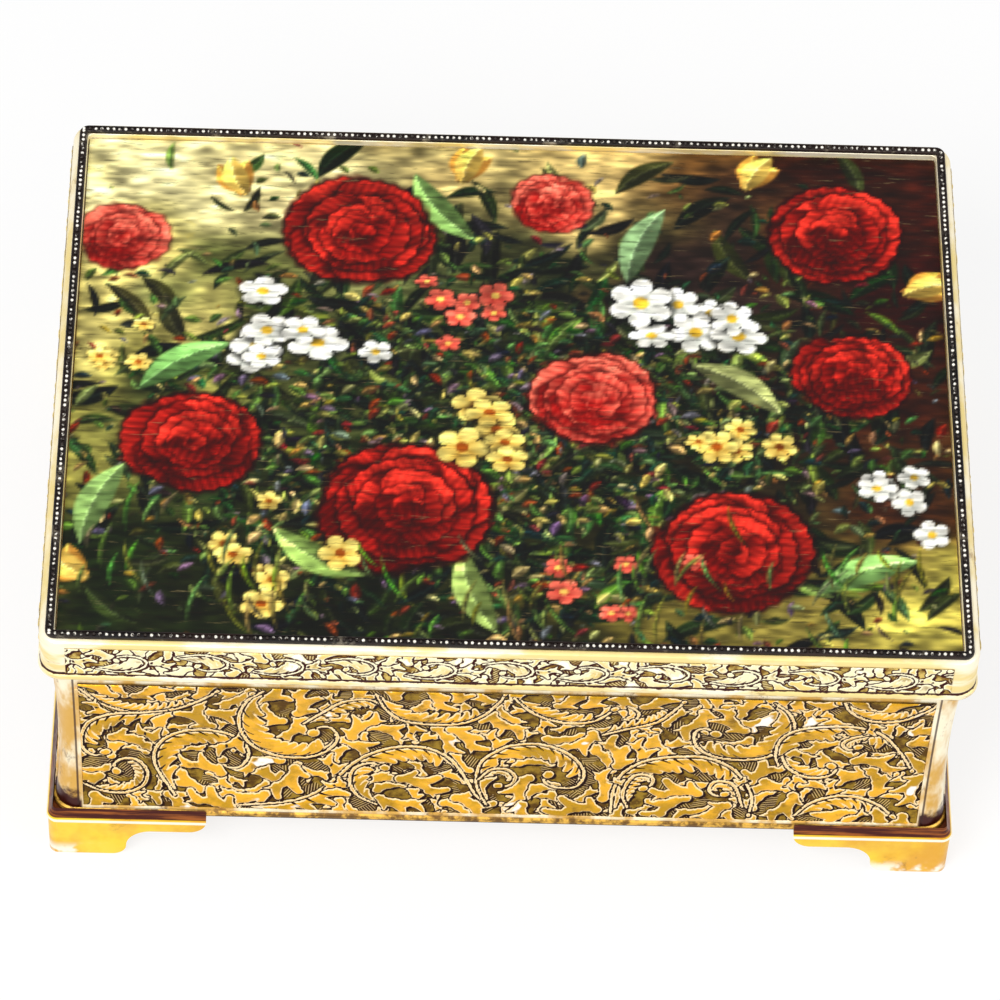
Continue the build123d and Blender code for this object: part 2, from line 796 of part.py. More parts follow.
def comb_screws():
    screws = Part()
    top = axis_z + comb_thickness / 2
    for x, y in comb_screw_places():
        head_top = top + comb_screw_head_height
        head = screw_part(x, y, top, head_top, comb_screw_head)
        slot = Pos(x, y, head_top) * Box(2 * comb_screw_head + past, slot_width, comb_screw_head_height)
        screws += head - slot + screw_part(x, y, top - comb_thickness, top, comb_screw_radius)
    return screws


def bearing(start, low_x, high_x, shafts):
    """An upright plate on the bedplate with a bore for each shaft."""
    high = axis_z + bearing_rise
    end = start + bearing_thickness
    plate = block((low_x, start, bed_top), (high_x, end, high))
    plate = chamfer(plate.edges().filter_by(Axis.Y).group_by(Axis.Z)[-1], bearing_bevel)
    for x, radius in shafts:
        plate -= cylinder_along_y(x, axis_z, start - past, end + past, radius + running_fit)
    return plate


def bearing_front():
    low_x = movement_x - bearing_half_width
    high_x = movement_x + bearing_half_width
    return bearing(front_bearing_y, low_x, high_x, [(movement_x, cylinder_shaft_radius)])


def bearing_back():
    shafts = [(movement_x, cylinder_shaft_radius), (governor_x, governor_shaft_radius)]
    low_x = movement_x - bearing_half_width
    return bearing(back_bearing_y, low_x, governor_x + bearing_half_width, shafts)


def governor_arbor():
    """The governor's arbor with its pinion, which the cylinder's gear drives."""
    end = back_bearing_y + bearing_thickness + 0.4
    arbor = cylinder_along_y(governor_x, axis_z, governor_front, end, governor_shaft_radius)
    phase = 180 / governor_pinion_teeth
    pinion = gear_along_y(governor_pinion_teeth, gear_module, gear_y, gear_y + gear_thickness, phase)
    return arbor + Pos(governor_x, 0, axis_z) * pinion


def worm_wheel():
    start = worm_y - worm_wheel_thickness / 2
    end = worm_y + worm_wheel_thickness / 2
    wheel = Pos(governor_x, 0, axis_z) * gear_along_y(worm_wheel_teeth, gear_module, start, end, 0)
    return wheel - cylinder_along_y(governor_x, axis_z, start - past, end + past, governor_shaft_radius)


def governor_bracket():
    """A cast bracket: base, arm for the arbor, column, upper bearing arm and the rod's guide.

    The worm's shaft turns in the upper arm and stands on the base by its pointed foot.
    """
    column_x = worm_x + column_gap
    column_end = column_x + column_width
    front = governor_front
    half = bracket_half
    left = governor_x - bracket_arm_half
    back = worm_y + bracket_back_reach
    base = block((left, front, bed_top), (column_end, back, bed_top + bracket_base))
    arm = block((left, front, bed_top), (governor_x + bracket_arm_half, front + half, axis_z + half))
    column = block((column_x, worm_y - half, bed_top), (column_end, worm_y + half, bracket_top))
    upper_low = bracket_top - upper_arm_thickness
    upper_left = worm_x - upper_arm_half
    upper = block((upper_left, worm_y - half, upper_low), (column_end, worm_y + half, bracket_top))
    guide_z = bed_top + guide_rise
    guide_end = rod_x + rod_radius + guide_wall
    guide_top = guide_z + guide_height
    guide = block((column_x, worm_y - half, guide_z), (guide_end, worm_y + half, guide_top))
    bracket = base + arm + column + upper + guide
    bore = governor_shaft_radius + running_fit
    bracket -= cylinder_along_y(governor_x, axis_z, front - past, front + half + past, bore)
    bore = worm_shaft_radius + running_fit
    bracket -= cylinder_between(worm_x, worm_y, upper_low - past, bracket_top + past, bore)
    bore = rod_radius + running_fit
    return bracket - cylinder_between(rod_x, worm_y, guide_z - past, guide_top + past, bore)


def worm_shaft():
    foot_z = bed_top + bracket_base + pivot_gap
    shaft = cylinder_between(worm_x, worm_y, foot_z, fan_low, worm_shaft_radius)
    half = worm_wheel_radius
    return shaft + screw_part(worm_x, worm_y, axis_z - half, axis_z + half, worm_radius)


def fan():
    """The air brake on the shaft's top: a hub with two blades, each bent forward at its end."""
    hub = cylinder_between(0, 0, fan_low, fan_top, worm_shaft_radius + 0.5)
    blades = []
    for side in (0, 180):
        blade = block((0.6, -0.2, fan_low + 0.4), (fan_radius * 0.7, 0.2, fan_top - 0.3))
        tip = Pos(fan_radius * 0.7, 0, 0) * Rot(0, 0, 35) * block(
            (-0.1, -0.2, fan_low + 0.4), (fan_radius * 0.3, 0.2, fan_top - 0.3))
        blades.append(Rot(0, 0, side) * (blade + tip))
    return Pos(worm_x, worm_y, 0) * (hub + blades)


def stop_rod():
    """The rod under the lid, and the brake finger that it lowers over the fan's hub."""
    lining_low = ledge_z - sheet - pad_board - pad_rise
    rod = cylinder_between(rod_x, worm_y, bed_top + guide_rise - 1.5, lining_low - brake_gap, rod_radius)
    low = fan_top + brake_gap
    return rod + block((worm_x - 0.9, worm_y - 0.6, low), (rod_x, worm_y + 0.6, low + finger_height))


card, silk = picture_pieces()
nodes = {
    "body_shell": body_shell(),
    "bottom_plate": bottom_plate(),
    "hinge_body_leaf": hinge_body_leaf(),
    "hinge_pin": hinge_pin(),
    "lid_frame": lid_frame(),
    "gallery_border": gallery_border(),
    "picture_backing": card,
    "picture_panel": silk,
    "lid_lining": lid_lining(),
    "hinge_lid_leaf": hinge_lid_leaf(),
    "well_lining": well_lining(),
    "well_floor_pad": well_floor_pad(),
    "movement_surround": movement_surround(),
    "movement_deck": movement_deck(),
    "movement_window": movement_window(),
    "bedplate": bedplate(),
    "movement_screws": movement_screws(),
    "spring_housing": spring_housing(),
    "mainspring": mainspring(),
    "winding_arbor": winding_arbor(),
    "winding_key": winding_key(),
    "great_wheel": great_wheel(),
    "cylinder": cylinder(),
    "cylinder_arbor": cylinder_arbor(),
    "cylinder_pinion": cylinder_pinion(),
    "cylinder_gear": cylinder_gear(),
    "bearing_front": bearing_front(),
    "bearing_back": bearing_back(),
    "comb": comb(),
    "comb_screws": comb_screws(),
    "governor_bracket": governor_bracket(),
    "governor_arbor": governor_arbor(),
    "worm_wheel": worm_wheel(),
    "worm_shaft": worm_shaft(),
    "fan": fan(),
    "stop_rod": stop_rod(),
}
nodes.update(feet())

os.makedirs("parts", exist_ok=True)
for name, solid in nodes.items():
    solid.label = name
    export_step(solid, "parts/" + name + ".step")
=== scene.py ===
import json
from math import cos, hypot, pi, radians, sin

import bpy
import numpy as np
from mathutils import Matrix, Vector

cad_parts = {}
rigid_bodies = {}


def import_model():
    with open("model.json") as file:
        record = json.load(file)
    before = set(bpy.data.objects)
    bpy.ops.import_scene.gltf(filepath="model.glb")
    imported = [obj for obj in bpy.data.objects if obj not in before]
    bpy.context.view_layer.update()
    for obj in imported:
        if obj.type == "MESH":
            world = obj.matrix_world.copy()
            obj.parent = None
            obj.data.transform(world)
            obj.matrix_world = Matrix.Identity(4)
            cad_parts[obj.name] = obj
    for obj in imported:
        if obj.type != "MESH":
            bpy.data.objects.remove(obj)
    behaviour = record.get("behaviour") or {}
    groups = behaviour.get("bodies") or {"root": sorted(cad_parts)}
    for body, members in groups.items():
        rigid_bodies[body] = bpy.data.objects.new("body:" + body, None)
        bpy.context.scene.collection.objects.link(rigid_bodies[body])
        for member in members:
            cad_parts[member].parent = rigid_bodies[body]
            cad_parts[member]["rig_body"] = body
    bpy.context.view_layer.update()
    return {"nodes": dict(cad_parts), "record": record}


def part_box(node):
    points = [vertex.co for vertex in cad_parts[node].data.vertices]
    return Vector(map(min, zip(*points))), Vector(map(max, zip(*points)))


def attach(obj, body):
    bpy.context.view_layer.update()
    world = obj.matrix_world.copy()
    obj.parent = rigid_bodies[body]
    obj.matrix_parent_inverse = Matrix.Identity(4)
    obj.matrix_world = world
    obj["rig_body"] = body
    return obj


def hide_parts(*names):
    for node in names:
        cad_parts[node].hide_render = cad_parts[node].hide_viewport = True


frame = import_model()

# Metres throughout, but the drawings on the engraved fields and on the picture are laid out in
# millimetres and brought to size by this
mm = 0.001

# The photograph's camera
camera_place = Vector((-0.0210, -0.5195, 0.7054))
camera_down = radians(52.56)
camera_right = radians(2.22)
camera_roll = radians(3.16)
camera_lens = 191.7
sensor_width = 36.0

# The box's sizes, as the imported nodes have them
land_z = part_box("lid_frame")[1].z
body_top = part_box("body_shell")[1].z
lid_half = Vector((0.0710, 0.0520))
body_half = Vector((0.0697, 0.0507))
wall_base = 0.0111
wall_flare = 0.0002
wall_waist = 0.0009
fillet_z = 0.0420
gallery_top = 0.057

# The engraved fields: where they start in metres, and the drawings on them in millimetres
panel_base = 0.0119
panel_height = 32.1
panel_half_x = 65.4
panel_half_y = 46.4
panel_step = 0.22
panel_relief = 0.00032
band_base = 0.0489
band_height = 6.2
band_half_x = 67.0
band_half_y = 48.0
band_step = 0.2
band_relief = 0.00018
groove = 0.3
narrow_leaf = 1.6

# A plate's ground stands this far off its wall, so that the two never share a surface
ground_lift = 0.00012

# Heights between which the gilt changes, from where a change starts to where it is complete
# painted highlights low on the feet
foot_highlight = (0.0034, 0.0008)
foot_cove = (0.0095, 0.0097)
base_line = (0.0102, 0.01005)
base_rim = (0.0112, 0.0110)
# a painted dark reflection low on the body's corners
corner_reflection = (0.0155, 0.0135)
seam_top = (0.0456, 0.0454)
# a painted shadow under the lid's lip
lip_shadow = (0.04768, 0.04752)

# Heights of the fine lines on the feet and over the lid's lip, and how far beside a panel its
# seam runs
foot_bead = 0.0089
lip_over = 0.0487
seam_off = 0.0008

slots = {part["node"]: part["material_slot"] for part in frame["record"]["subparts"]}


def srgb(red, green, blue):
    """A colour as it shows on a screen, turned into the linear values that the shaders take."""
    linear = [c / 12.92 if c <= 0.04045 else ((c + 0.055) / 1.055) ** 2.4 for c in (red, green, blue)]
    return linear + [1.0]


# Finishes

class Finish:
    """A procedural material, with a short call for each kind of node that the finishes need."""

    def __init__(self, name, **constants):
        self.material = bpy.data.materials.new(name)
        self.material.use_nodes = True
        self.tree = self.material.node_tree
        self.shader = self.tree.nodes["Principled BSDF"]
        self.place = self.tree.nodes.new("ShaderNodeTexCoord").outputs["Object"]
        for socket, value in constants.items():
            self.shader.inputs[socket.replace("_", " ")].default_value = value

    def node(self, kind, **inputs):
        made = self.tree.nodes.new("ShaderNode" + kind)
        for socket, value in inputs.items():
            self.feed(value, made.inputs[socket.replace("_", " ")])
        return made

    def feed(self, value, socket):
        if isinstance(value, bpy.types.NodeSocket):
            self.tree.links.new(value, socket)
        else:
            socket.default_value = value

    def math(self, operation, *values):
        made = self.tree.nodes.new("ShaderNodeMath")
        made.operation = operation
        for value, socket in zip(values, made.inputs):
            self.feed(value, socket)
        return made.outputs[0]

    def fade(self, value, low, high, start=0.0, end=1.0):
        """Value taken from low..high to start..end, held at both ends."""
        made = self.node("MapRange", Value=value, From_Min=low, From_Max=high, To_Min=start, To_Max=end)
        made.interpolation_type = "SMOOTHSTEP"
        return made.outputs[0]

    def height(self):
        return self.node("SeparateXYZ", Vector=self.place).outputs["Z"]

    def line(self, value, at, half, edge, strength=1.0):
        """Strength where a value lies within half of its place, and nothing beyond edge."""
        off = self.math("ABSOLUTE", self.math("SUBTRACT", value, at))
        return self.fade(off, half, edge, strength, 0.0)

    def noise(self, scale, detail=4.0, roughness=0.6, vector=None, distortion=0.0):
        made = self.node("TexNoise", Vector=self.place if vector is None else vector, Scale=scale,
                         Detail=detail, Roughness=roughness, Distortion=distortion)
        return made.outputs["Fac"]

    def streaks(self, scale, detail=4.0, roughness=0.6):
        """Noise with a scale of its own along each axis."""
        made = self.node("Mapping", Vector=self.place)
        made.inputs["Scale"].default_value = scale
        return self.noise(1.0, detail, roughness, made.outputs[0])

    def mix(self, share, first, second, blend="MIX"):
        made = self.tree.nodes.new("ShaderNodeMix")
        made.data_type = "RGBA"
        made.blend_type = blend
        self.feed(share, made.inputs["Factor"])
        self.feed(first, made.inputs[6])
        self.feed(second, made.inputs[7])
        return made.outputs[2]

    def read(self, name, output="Fac"):
        made = self.tree.nodes.new("ShaderNodeAttribute")
        made.attribute_name = name
        return made.outputs[output]

    def bump(self, height, distance, strength=1.0):
        made = self.node("Bump", Height=height, Distance=distance, Strength=strength)
        self.feed(made.outputs[0], self.shader.inputs["Normal"])

    def colour(self, value):
        self.feed(value, self.shader.inputs["Base Color"])

    def rough(self, value):
        self.feed(value, self.shader.inputs["Roughness"])

    def polish(self, least, most, scale=700.0):
        """Roughness that wanders between two values."""
        self.rough(self.fade(self.noise(scale), 0.3, 0.7, least, most))


def gilt(name, bright, deep, soil, soil_share, metallic, roughness):
    """Polished metal: cloudy between two shades, soiled in patches, with fine brushing."""
    finish = Finish(name, Metallic=metallic)
    cloud = finish.fade(finish.noise(90.0), 0.35, 0.65)
    base = finish.mix(cloud, srgb(*bright), srgb(*deep))
    patch = finish.fade(finish.noise(150.0, 8.0, 0.7, distortion=0.4), 0.56, 0.74, 0.0, soil_share)
    finish.colour(finish.mix(patch, base, srgb(*soil)))
    finish.polish(roughness, roughness + 0.16)
    finish.bump(finish.noise(2600.0, 3.0), 0.00003, 0.4)
    return finish.material


def foot_gilt():
    """Bright gilt with a dark streaked cove, a pale bead line and painted highlights in patches along its
    lower edges.
    """
    finish = Finish("foot_gilt", Metallic=0.5)
    z = finish.height()
    cloud = finish.fade(finish.noise(80.0), 0.35, 0.65)
    base = finish.mix(cloud, srgb(0.99, 0.84, 0.20), srgb(0.90, 0.66, 0.12))
    soil = finish.fade(finish.noise(160.0, 8.0, 0.7, distortion=0.4), 0.58, 0.72, 0.0, 0.6)
    base = finish.mix(soil, base, srgb(0.50, 0.27, 0.06))
    # Pale patches near the lower edges are painted highlights
    patches = finish.fade(finish.noise(110.0), 0.44, 0.52)
    wear_and_highlight = finish.math("MULTIPLY", finish.fade(z, *foot_highlight), patches)
    base = finish.mix(wear_and_highlight, base, srgb(1.0, 0.97, 0.90))
    base = finish.mix(finish.line(z, foot_bead, 0.00035, 0.0005), base, srgb(0.99, 0.95, 0.86))
    streak = finish.streaks((90.0, 90.0, 2600.0))
    cove = finish.mix(finish.fade(streak, 0.45, 0.65), srgb(0.26, 0.05, 0.02), srgb(0.62, 0.34, 0.12))
    finish.colour(finish.mix(finish.fade(z, *foot_cove), base, cove))
    finish.polish(0.28, 0.44)
    return finish.material


def pillar_gilt():
    """The plain part of the body: pale and smudged, seamed beside the panels, dark at its foot,
    with a painted dark reflection low on its corners.
    """
    finish = Finish("pillar_gilt", Metallic=0.5)
    z = finish.height()
    cloud = finish.fade(finish.streaks((160.0, 160.0, 70.0)), 0.4, 0.6)
    base = finish.mix(cloud, srgb(0.98, 0.94, 0.82), srgb(0.85, 0.66, 0.30))
    smudge = finish.fade(finish.streaks((300.0, 300.0, 110.0), 8.0, 0.7), 0.57, 0.68, 0.0, 0.8)
    base = finish.mix(smudge, base, srgb(0.48, 0.30, 0.08))
    apart = finish.node("SeparateXYZ", Vector=finish.place)
    corner = 1.0
    seam = 0.0
    for axis, half in (("X", panel_half_x * mm), ("Y", panel_half_y * mm)):
        off = finish.math("ABSOLUTE", apart.outputs[axis])
        corner = finish.math("MULTIPLY", corner, finish.fade(off, half, half + 0.0004))
        seam = finish.math("MAXIMUM", seam, finish.line(off, half + seam_off, 0.00010, 0.00022, 0.85))
    # Low on the corners, a painted dark reflection of the flaring wall
    ragged = finish.math("ADD", z, finish.fade(finish.noise(300.0), 0.3, 0.7, -0.0012, 0.0012))
    dark_reflection = finish.math("MULTIPLY", finish.fade(ragged, *corner_reflection), corner)
    base = finish.mix(dark_reflection, base, srgb(0.24, 0.05, 0.02))
    seam = finish.math("MULTIPLY", seam, finish.fade(z, *seam_top))
    base = finish.mix(seam, base, srgb(0.20, 0.05, 0.02))
    rim_soil = finish.fade(finish.noise(420.0, 6.0, 0.65), 0.4, 0.6)
    rim = finish.mix(rim_soil, srgb(0.90, 0.70, 0.28), srgb(0.42, 0.29, 0.09))
    base = finish.mix(finish.fade(z, *base_rim), base, rim)
    finish.colour(finish.mix(finish.fade(z, *base_line), base, srgb(0.12, 0.04, 0.03)))
    finish.polish(0.28, 0.44)
    return finish.material


def bead_gilt():
    """Bead tops, pale here and black there."""
    finish = Finish("bead_tops", Metallic=0.4)
    soot = finish.fade(finish.noise(900.0, 2.0, 0.5), 0.46, 0.56)
    finish.colour(finish.mix(soot, srgb(0.97, 0.95, 0.90), srgb(0.16, 0.12, 0.10)))
    finish.polish(0.3, 0.5)
    return finish.material


def lid_gilt():
    """The lid's plain metal: pale, with a dark line over its lower lip and a painted shadow under it."""
    finish = Finish("lid_gilt", Metallic=0.5)
    z = finish.height()
    cloud = finish.fade(finish.streaks((70.0, 70.0, 300.0)), 0.4, 0.6)
    base = finish.mix(cloud, srgb(0.99, 0.95, 0.84), srgb(0.93, 0.84, 0.56))
    smudge = finish.fade(finish.streaks((120.0, 120.0, 500.0), 8.0, 0.7), 0.6, 0.7, 0.0, 0.6)
    base = finish.mix(smudge, base, srgb(0.55, 0.38, 0.14))
    ragged = finish.math("ADD", z, finish.fade(finish.noise(500.0), 0.2, 0.8, -0.00012, 0.00012))
    # A dark line over the lip, and painted shadow under it
    lines = finish.math("MAXIMUM", finish.line(ragged, lip_over, 0.00018, 0.0003),
                        finish.fade(ragged, *lip_shadow))
    finish.colour(finish.mix(lines, base, srgb(0.22, 0.03, 0.02)))
    finish.polish(0.28, 0.44)
    return finish.material


def engraved(name, ground, ground_light, outline, rim, leaf, leaf_deep, wear_and_highlight):
    """Gilt relief over a darkened ground, hatched in clusters, its edges pale,
    with painted highlights and painted shade on its leaves.

    The piece's attributes give, in millimetres, how far a point lies inside its leaf, how far its
    neighbour up and to the left does, which lays a painted shadow below and right of each leaf, and
    how far it is from the nearest incised line.
    """
    finish = Finish(name, Metallic=0.4, Specular_IOR_Level=0.15)
    inside = finish.read("inside")
    cut = finish.read("cut")
    cast = finish.read("cast")
    flat = finish.tree.nodes.new("ShaderNodeUVMap").outputs[0]
    cell = finish.node("TexVoronoi", Vector=flat, Scale=0.34)
    pick = finish.node("SeparateColor", Color=cell.outputs["Color"])
    spin = finish.node("VectorRotate", Vector=flat)
    spin.rotation_type = "Z_AXIS"
    finish.feed(finish.math("MULTIPLY", pick.outputs[0], pi), spin.inputs["Angle"])
    across = finish.node("SeparateXYZ", Vector=spin.outputs[0]).outputs["X"]
    hatch_pitch = 0.44
    stripe = finish.math("SINE", finish.math("MULTIPLY", across, 2 * pi / hatch_pitch))
    hatched = finish.fade(finish.math("SUBTRACT", pick.outputs[1], 0.45), 0.0, 0.1)
    hatch = finish.math("MULTIPLY", finish.fade(stripe, 0.0, 0.5), hatched)
    wander = finish.noise(420.0, 6.0, 0.65)
    soil = finish.mix(finish.fade(wander, 0.4, 0.62), srgb(*ground), srgb(*ground_light))
    soil = finish.mix(finish.math("MULTIPLY", hatch, 0.8), soil, srgb(*outline))
    light_hatch = finish.math("MULTIPLY", finish.fade(stripe, -0.7, -0.95), hatched)
    soil = finish.mix(finish.math("MULTIPLY", light_hatch, 0.6), soil, srgb(*rim))
    fray = finish.fade(finish.noise(1500.0, 3.0), 0.2, 0.8, -0.09, 0.09)
    rough_edge = finish.math("ADD", inside, fray)
    gold = finish.mix(finish.fade(finish.noise(150.0, 5.0), 0.4, 0.6), srgb(*leaf), srgb(*leaf_deep))
    tarnish = finish.fade(finish.noise(330.0, 6.0, 0.6, distortion=0.3), 0.55, 0.72, 0.0, 0.65)
    gold = finish.mix(tarnish, gold, srgb(*ground))
    # Leaves darker towards their middles: painted shade in the scoop
    gold = finish.mix(finish.fade(inside, 0.35, 1.4, 0.0, 0.35), gold, srgb(*leaf_deep))
    metal = finish.mix(finish.fade(rough_edge, 0.08, 0.26), srgb(*rim), gold)
    metal = finish.mix(finish.fade(cut, 0.06, 0.17, 1.0, 0.0), metal, srgb(*outline))
    # White patches on the leaves are painted highlights
    painted_highlight = finish.math("MULTIPLY", finish.fade(finish.noise(120.0, 3.0, 0.5), 0.635, 0.665),
                         finish.fade(inside, 0.05, 0.3))
    metal = finish.mix(painted_highlight, metal, srgb(*wear_and_highlight))
    # Dark round each leaf: patina in its groove, and a painted shadow cast down and to the right
    shadow = finish.math("MAXIMUM", finish.fade(rough_edge, -0.3, -0.15),
                         finish.fade(cast, -0.1, 0.12))
    dark = finish.mix(shadow, soil, srgb(*outline))
    finish.colour(finish.mix(finish.fade(rough_edge, -0.05, 0.03), dark, metal))
    finish.rough(finish.fade(rough_edge, -0.1, 0.2, 0.62, 0.3))
    grain = finish.math("ADD", finish.noise(1800.0, 3.0), finish.math("MULTIPLY", hatch, -0.6))
    finish.bump(grain, 0.00006)
    return finish.material


def velvet():
    """Short red pile, lighter where it is brushed up."""
    finish = Finish("velvet", Sheen_Weight=0.8, Sheen_Roughness=0.4, Roughness=0.9)
    nap = finish.fade(finish.noise(120.0, 5.0), 0.3, 0.7)
    finish.colour(finish.mix(nap, srgb(0.42, 0.03, 0.06), srgb(0.56, 0.06, 0.10)))
    finish.shader.inputs["Sheen Tint"].default_value = srgb(0.95, 0.45, 0.45)
    finish.bump(finish.noise(3800.0, 2.0), 0.00012, 0.6)
    return finish.material


def silk():
    """The painting, streaked across by the weave, with fine pale horizontal streaks painted in as the
    silk's sheen.
    """
    finish = Finish("printed_silk", Specular_IOR_Level=0.15)
    paint = finish.read("paint", "Color")
    streak = finish.streaks((170.0, 1300.0, 400.0), 4.0, 0.7)
    blotch = finish.streaks((240.0, 520.0, 300.0))
    dark = finish.mix(finish.fade(streak, 0.55, 0.68, 0.0, 0.5), paint, srgb(0.10, 0.07, 0.05))
    # Pale horizontal streaks are the silk's sheen, painted in
    light = finish.mix(finish.fade(streak, 0.40, 0.24, 0.0, 0.16), dark, srgb(0.85, 0.75, 0.52))
    wear_and_highlight = finish.fade(blotch, 0.62, 0.75, 0.0, 0.25)
    finish.colour(finish.mix(wear_and_highlight, light, srgb(0.9, 0.8, 0.5), "SOFT_LIGHT"))
    finish.rough(finish.fade(streak, 0.3, 0.7, 0.42, 0.62))
    finish.bump(streak, 0.00005, 0.5)
    return finish.material


def plain(name, first, second, scale, roughness, **constants):
    """Two close colours that run into one another."""
    finish = Finish(name, **constants)
    cloud = finish.fade(finish.noise(scale), 0.35, 0.65)
    finish.colour(finish.mix(cloud, srgb(*first), srgb(*second)))
    finish.polish(roughness, roughness + 0.1, scale * 5)
    return finish.material


finishes = {
    "panel": engraved("engraved_gilt", ground=(0.34, 0.23, 0.05), ground_light=(0.60, 0.48, 0.15),
                      outline=(0.11, 0.0, 0.0), rim=(0.99, 0.88, 0.68), leaf=(0.96, 0.71, 0.19),
                      leaf_deep=(0.74, 0.56, 0.10), wear_and_highlight=(1.0, 0.98, 0.94)),
    # The band: the panels' gilt painted paler, as painted light where the lid's band faces the light
    "band": engraved("engraved_lid_gilt_painted_paler", ground=(0.50, 0.36, 0.12), ground_light=(0.84, 0.73, 0.40),
                     outline=(0.22, 0.01, 0.01), rim=(0.99, 0.96, 0.82), leaf=(0.99, 0.94, 0.76),
                     leaf_deep=(0.93, 0.82, 0.50), wear_and_highlight=(1.0, 0.99, 0.95)),
    "pillar": pillar_gilt(),
    "lid": lid_gilt(),
    "foot": foot_gilt(),
    "plain": gilt("plain_gilt", (0.88, 0.72, 0.36), (0.78, 0.58, 0.24), (0.42, 0.28, 0.10),
                  soil_share=0.4, metallic=0.85, roughness=0.36),
    "hinge": gilt("hinge_brass", (0.84, 0.66, 0.34), (0.72, 0.52, 0.22), (0.34, 0.22, 0.08),
                  soil_share=0.5, metallic=0.9, roughness=0.34),
    "brass": gilt("movement_brass", (0.92, 0.78, 0.46), (0.84, 0.66, 0.32), (0.62, 0.46, 0.2),
                  soil_share=0.2, metallic=0.95, roughness=0.24),
    "steel": gilt("movement_steel", (0.78, 0.78, 0.79), (0.66, 0.66, 0.68), (0.5, 0.5, 0.5),
                  soil_share=0.2, metallic=0.95, roughness=0.26),
    "cast": gilt("cast_base", (0.74, 0.72, 0.68), (0.64, 0.61, 0.57), (0.45, 0.42, 0.38),
                 soil_share=0.3, metallic=0.8, roughness=0.42),
    "black": gilt("blackened_gilt", (0.07, 0.05, 0.05), (0.15, 0.09, 0.07), (0.85, 0.80, 0.70),
                  soil_share=0.5, metallic=0.4, roughness=0.45),
    "bead": bead_gilt(),
    "velvet": velvet(),
    "silk": silk(),
    "card": plain("card", (0.80, 0.74, 0.62), (0.74, 0.67, 0.54), 300.0, 0.8),
    "glass": plain("clear_pane", (0.96, 0.98, 0.98), (0.93, 0.96, 0.97), 60.0, 0.02,
                   Transmission_Weight=1.0, IOR=1.46),
}


slot_finish = {
    "engraved_gilt": "pillar", "lid_gilt": "lid", "foot_gilt": "foot", "plain_gilt": "plain",
    "blackened_gilt": "black", "hinge_brass": "hinge", "velvet": "velvet", "printed_silk": "card",
    "card": "card", "clear_pane": "glass", "cast_base": "cast", "movement_steel": "steel",
    "movement_brass": "brass",
}


def dress(piece, finish):
    """Give a piece, or a carried-over node, one of the finishes."""
    piece.data.materials.clear()
    piece.data.materials.append(finishes[finish])


# Meshes

def opened(name, data):
    """A new object with this mesh, alone selected and in edit mode with all of it selected."""
    piece = bpy.data.objects.new(name, data)
    bpy.context.scene.collection.objects.link(piece)
    bpy.ops.object.select_all(action="DESELECT")
    piece.select_set(True)
    bpy.context.view_layer.objects.active = piece
    bpy.ops.object.mode_set(mode="EDIT")
    bpy.ops.mesh.select_all(action="SELECT")
    return piece


def made_piece(name, places, faces, body, finish, smooth=40.0):
    """A piece from vertices and faces, shaded smooth except at sharp turns."""
    data = bpy.data.meshes.new(name)
    data.from_pydata([tuple(p) for p in places], [], faces)
    piece = opened(name, data)
    bpy.ops.mesh.normals_make_consistent(inside=False)
    bpy.ops.object.mode_set(mode="OBJECT")
    bpy.ops.object.shade_smooth_by_angle(angle=radians(smooth))
    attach(piece, body)
    dress(piece, finish)
    return piece


def grid_faces(rows, cols):
    """The faces of a grid of points that are listed row by row."""
    return [(r * cols + c, r * cols + c + 1, (r + 1) * cols + c + 1, (r + 1) * cols + c)
            for r in range(rows - 1) for c in range(cols - 1)]


def board(places, rows, cols, base):
    """A grid of points closed by a rim that runs straight to a flat face at a height."""
    faces = grid_faces(rows, cols)
    rim = list(range(cols)) + [r * cols + cols - 1 for r in range(1, rows)]
    rim += [(rows - 1) * cols + c for c in range(cols - 2, -1, -1)]
    rim += [r * cols for r in range(rows - 2, 0, -1)]
    start = len(places)
    places = places + [(places[k][0], places[k][1], base) for k in rim]
    for i in range(len(rim)):
        j = (i + 1) % len(rim)
        faces.append((rim[j], rim[i], start + i, start + j))
    faces.append(list(range(start + len(rim) - 1, start - 1, -1)))
    return places, faces


# Drawings

def turned(direction, angle):
    """A direction in the drawing's plane, turned by an angle."""
    c, s = cos(angle), sin(angle)
    return np.array((direction[0] * c - direction[1] * s, direction[0] * s + direction[1] * c))


def smooth_line(points, spacing=0.3):
    """A Catmull-Rom curve through given points, at an even spacing."""
    p = np.array(points, float)
    p = np.vstack([2 * p[0] - p[1], p, 2 * p[-1] - p[-2]])
    out = []
    for a, b, c, d in zip(p, p[1:], p[2:], p[3:]):
        for t in np.linspace(0, 1, 12, endpoint=False):
            out.append(0.5 * (2 * b + (c - a) * t + (2 * a - 5 * b + 4 * c - d) * t * t
                              + (3 * b - 3 * c + d - a) * t ** 3))
    out.append(p[-2])
    out = np.array(out)
    run = np.concatenate([[0], np.cumsum(np.hypot(*np.diff(out, axis=0).T))])
    even = np.linspace(0, run[-1], max(3, int(run[-1] / spacing)))
    return np.column_stack([np.interp(even, run, out[:, k]) for k in (0, 1)])


def pointing(angle):
    """The direction at an angle from the drawing's right."""
    return np.array((cos(angle), sin(angle)))


def arc_line(start, lead, length, bend, count=16):
    """A line that leaves start along lead and turns by bend on its way."""
    angle = np.arctan2(lead[1], lead[0]) + bend * np.linspace(0, 1, count)
    step = np.column_stack([np.cos(angle), np.sin(angle)]) * length / (count - 1)
    return np.asarray(start) + np.vstack([[0, 0], np.cumsum(step[1:], axis=0)])


def tooth(root, lead, length, bend, tip):
    """A stroke for one tooth of a leaf, broad at its root and tapering as it curls."""
    count = 8
    taper = np.linspace(0, 1, count) ** 0.9
    return arc_line(root, lead, length, bend, count), length * (0.34 - (0.34 - tip) * taper)


def headings(line):
    """The unit direction at each point of a line."""
    along = np.gradient(line, axis=0)
    return along / np.hypot(*along.T)[:, None]


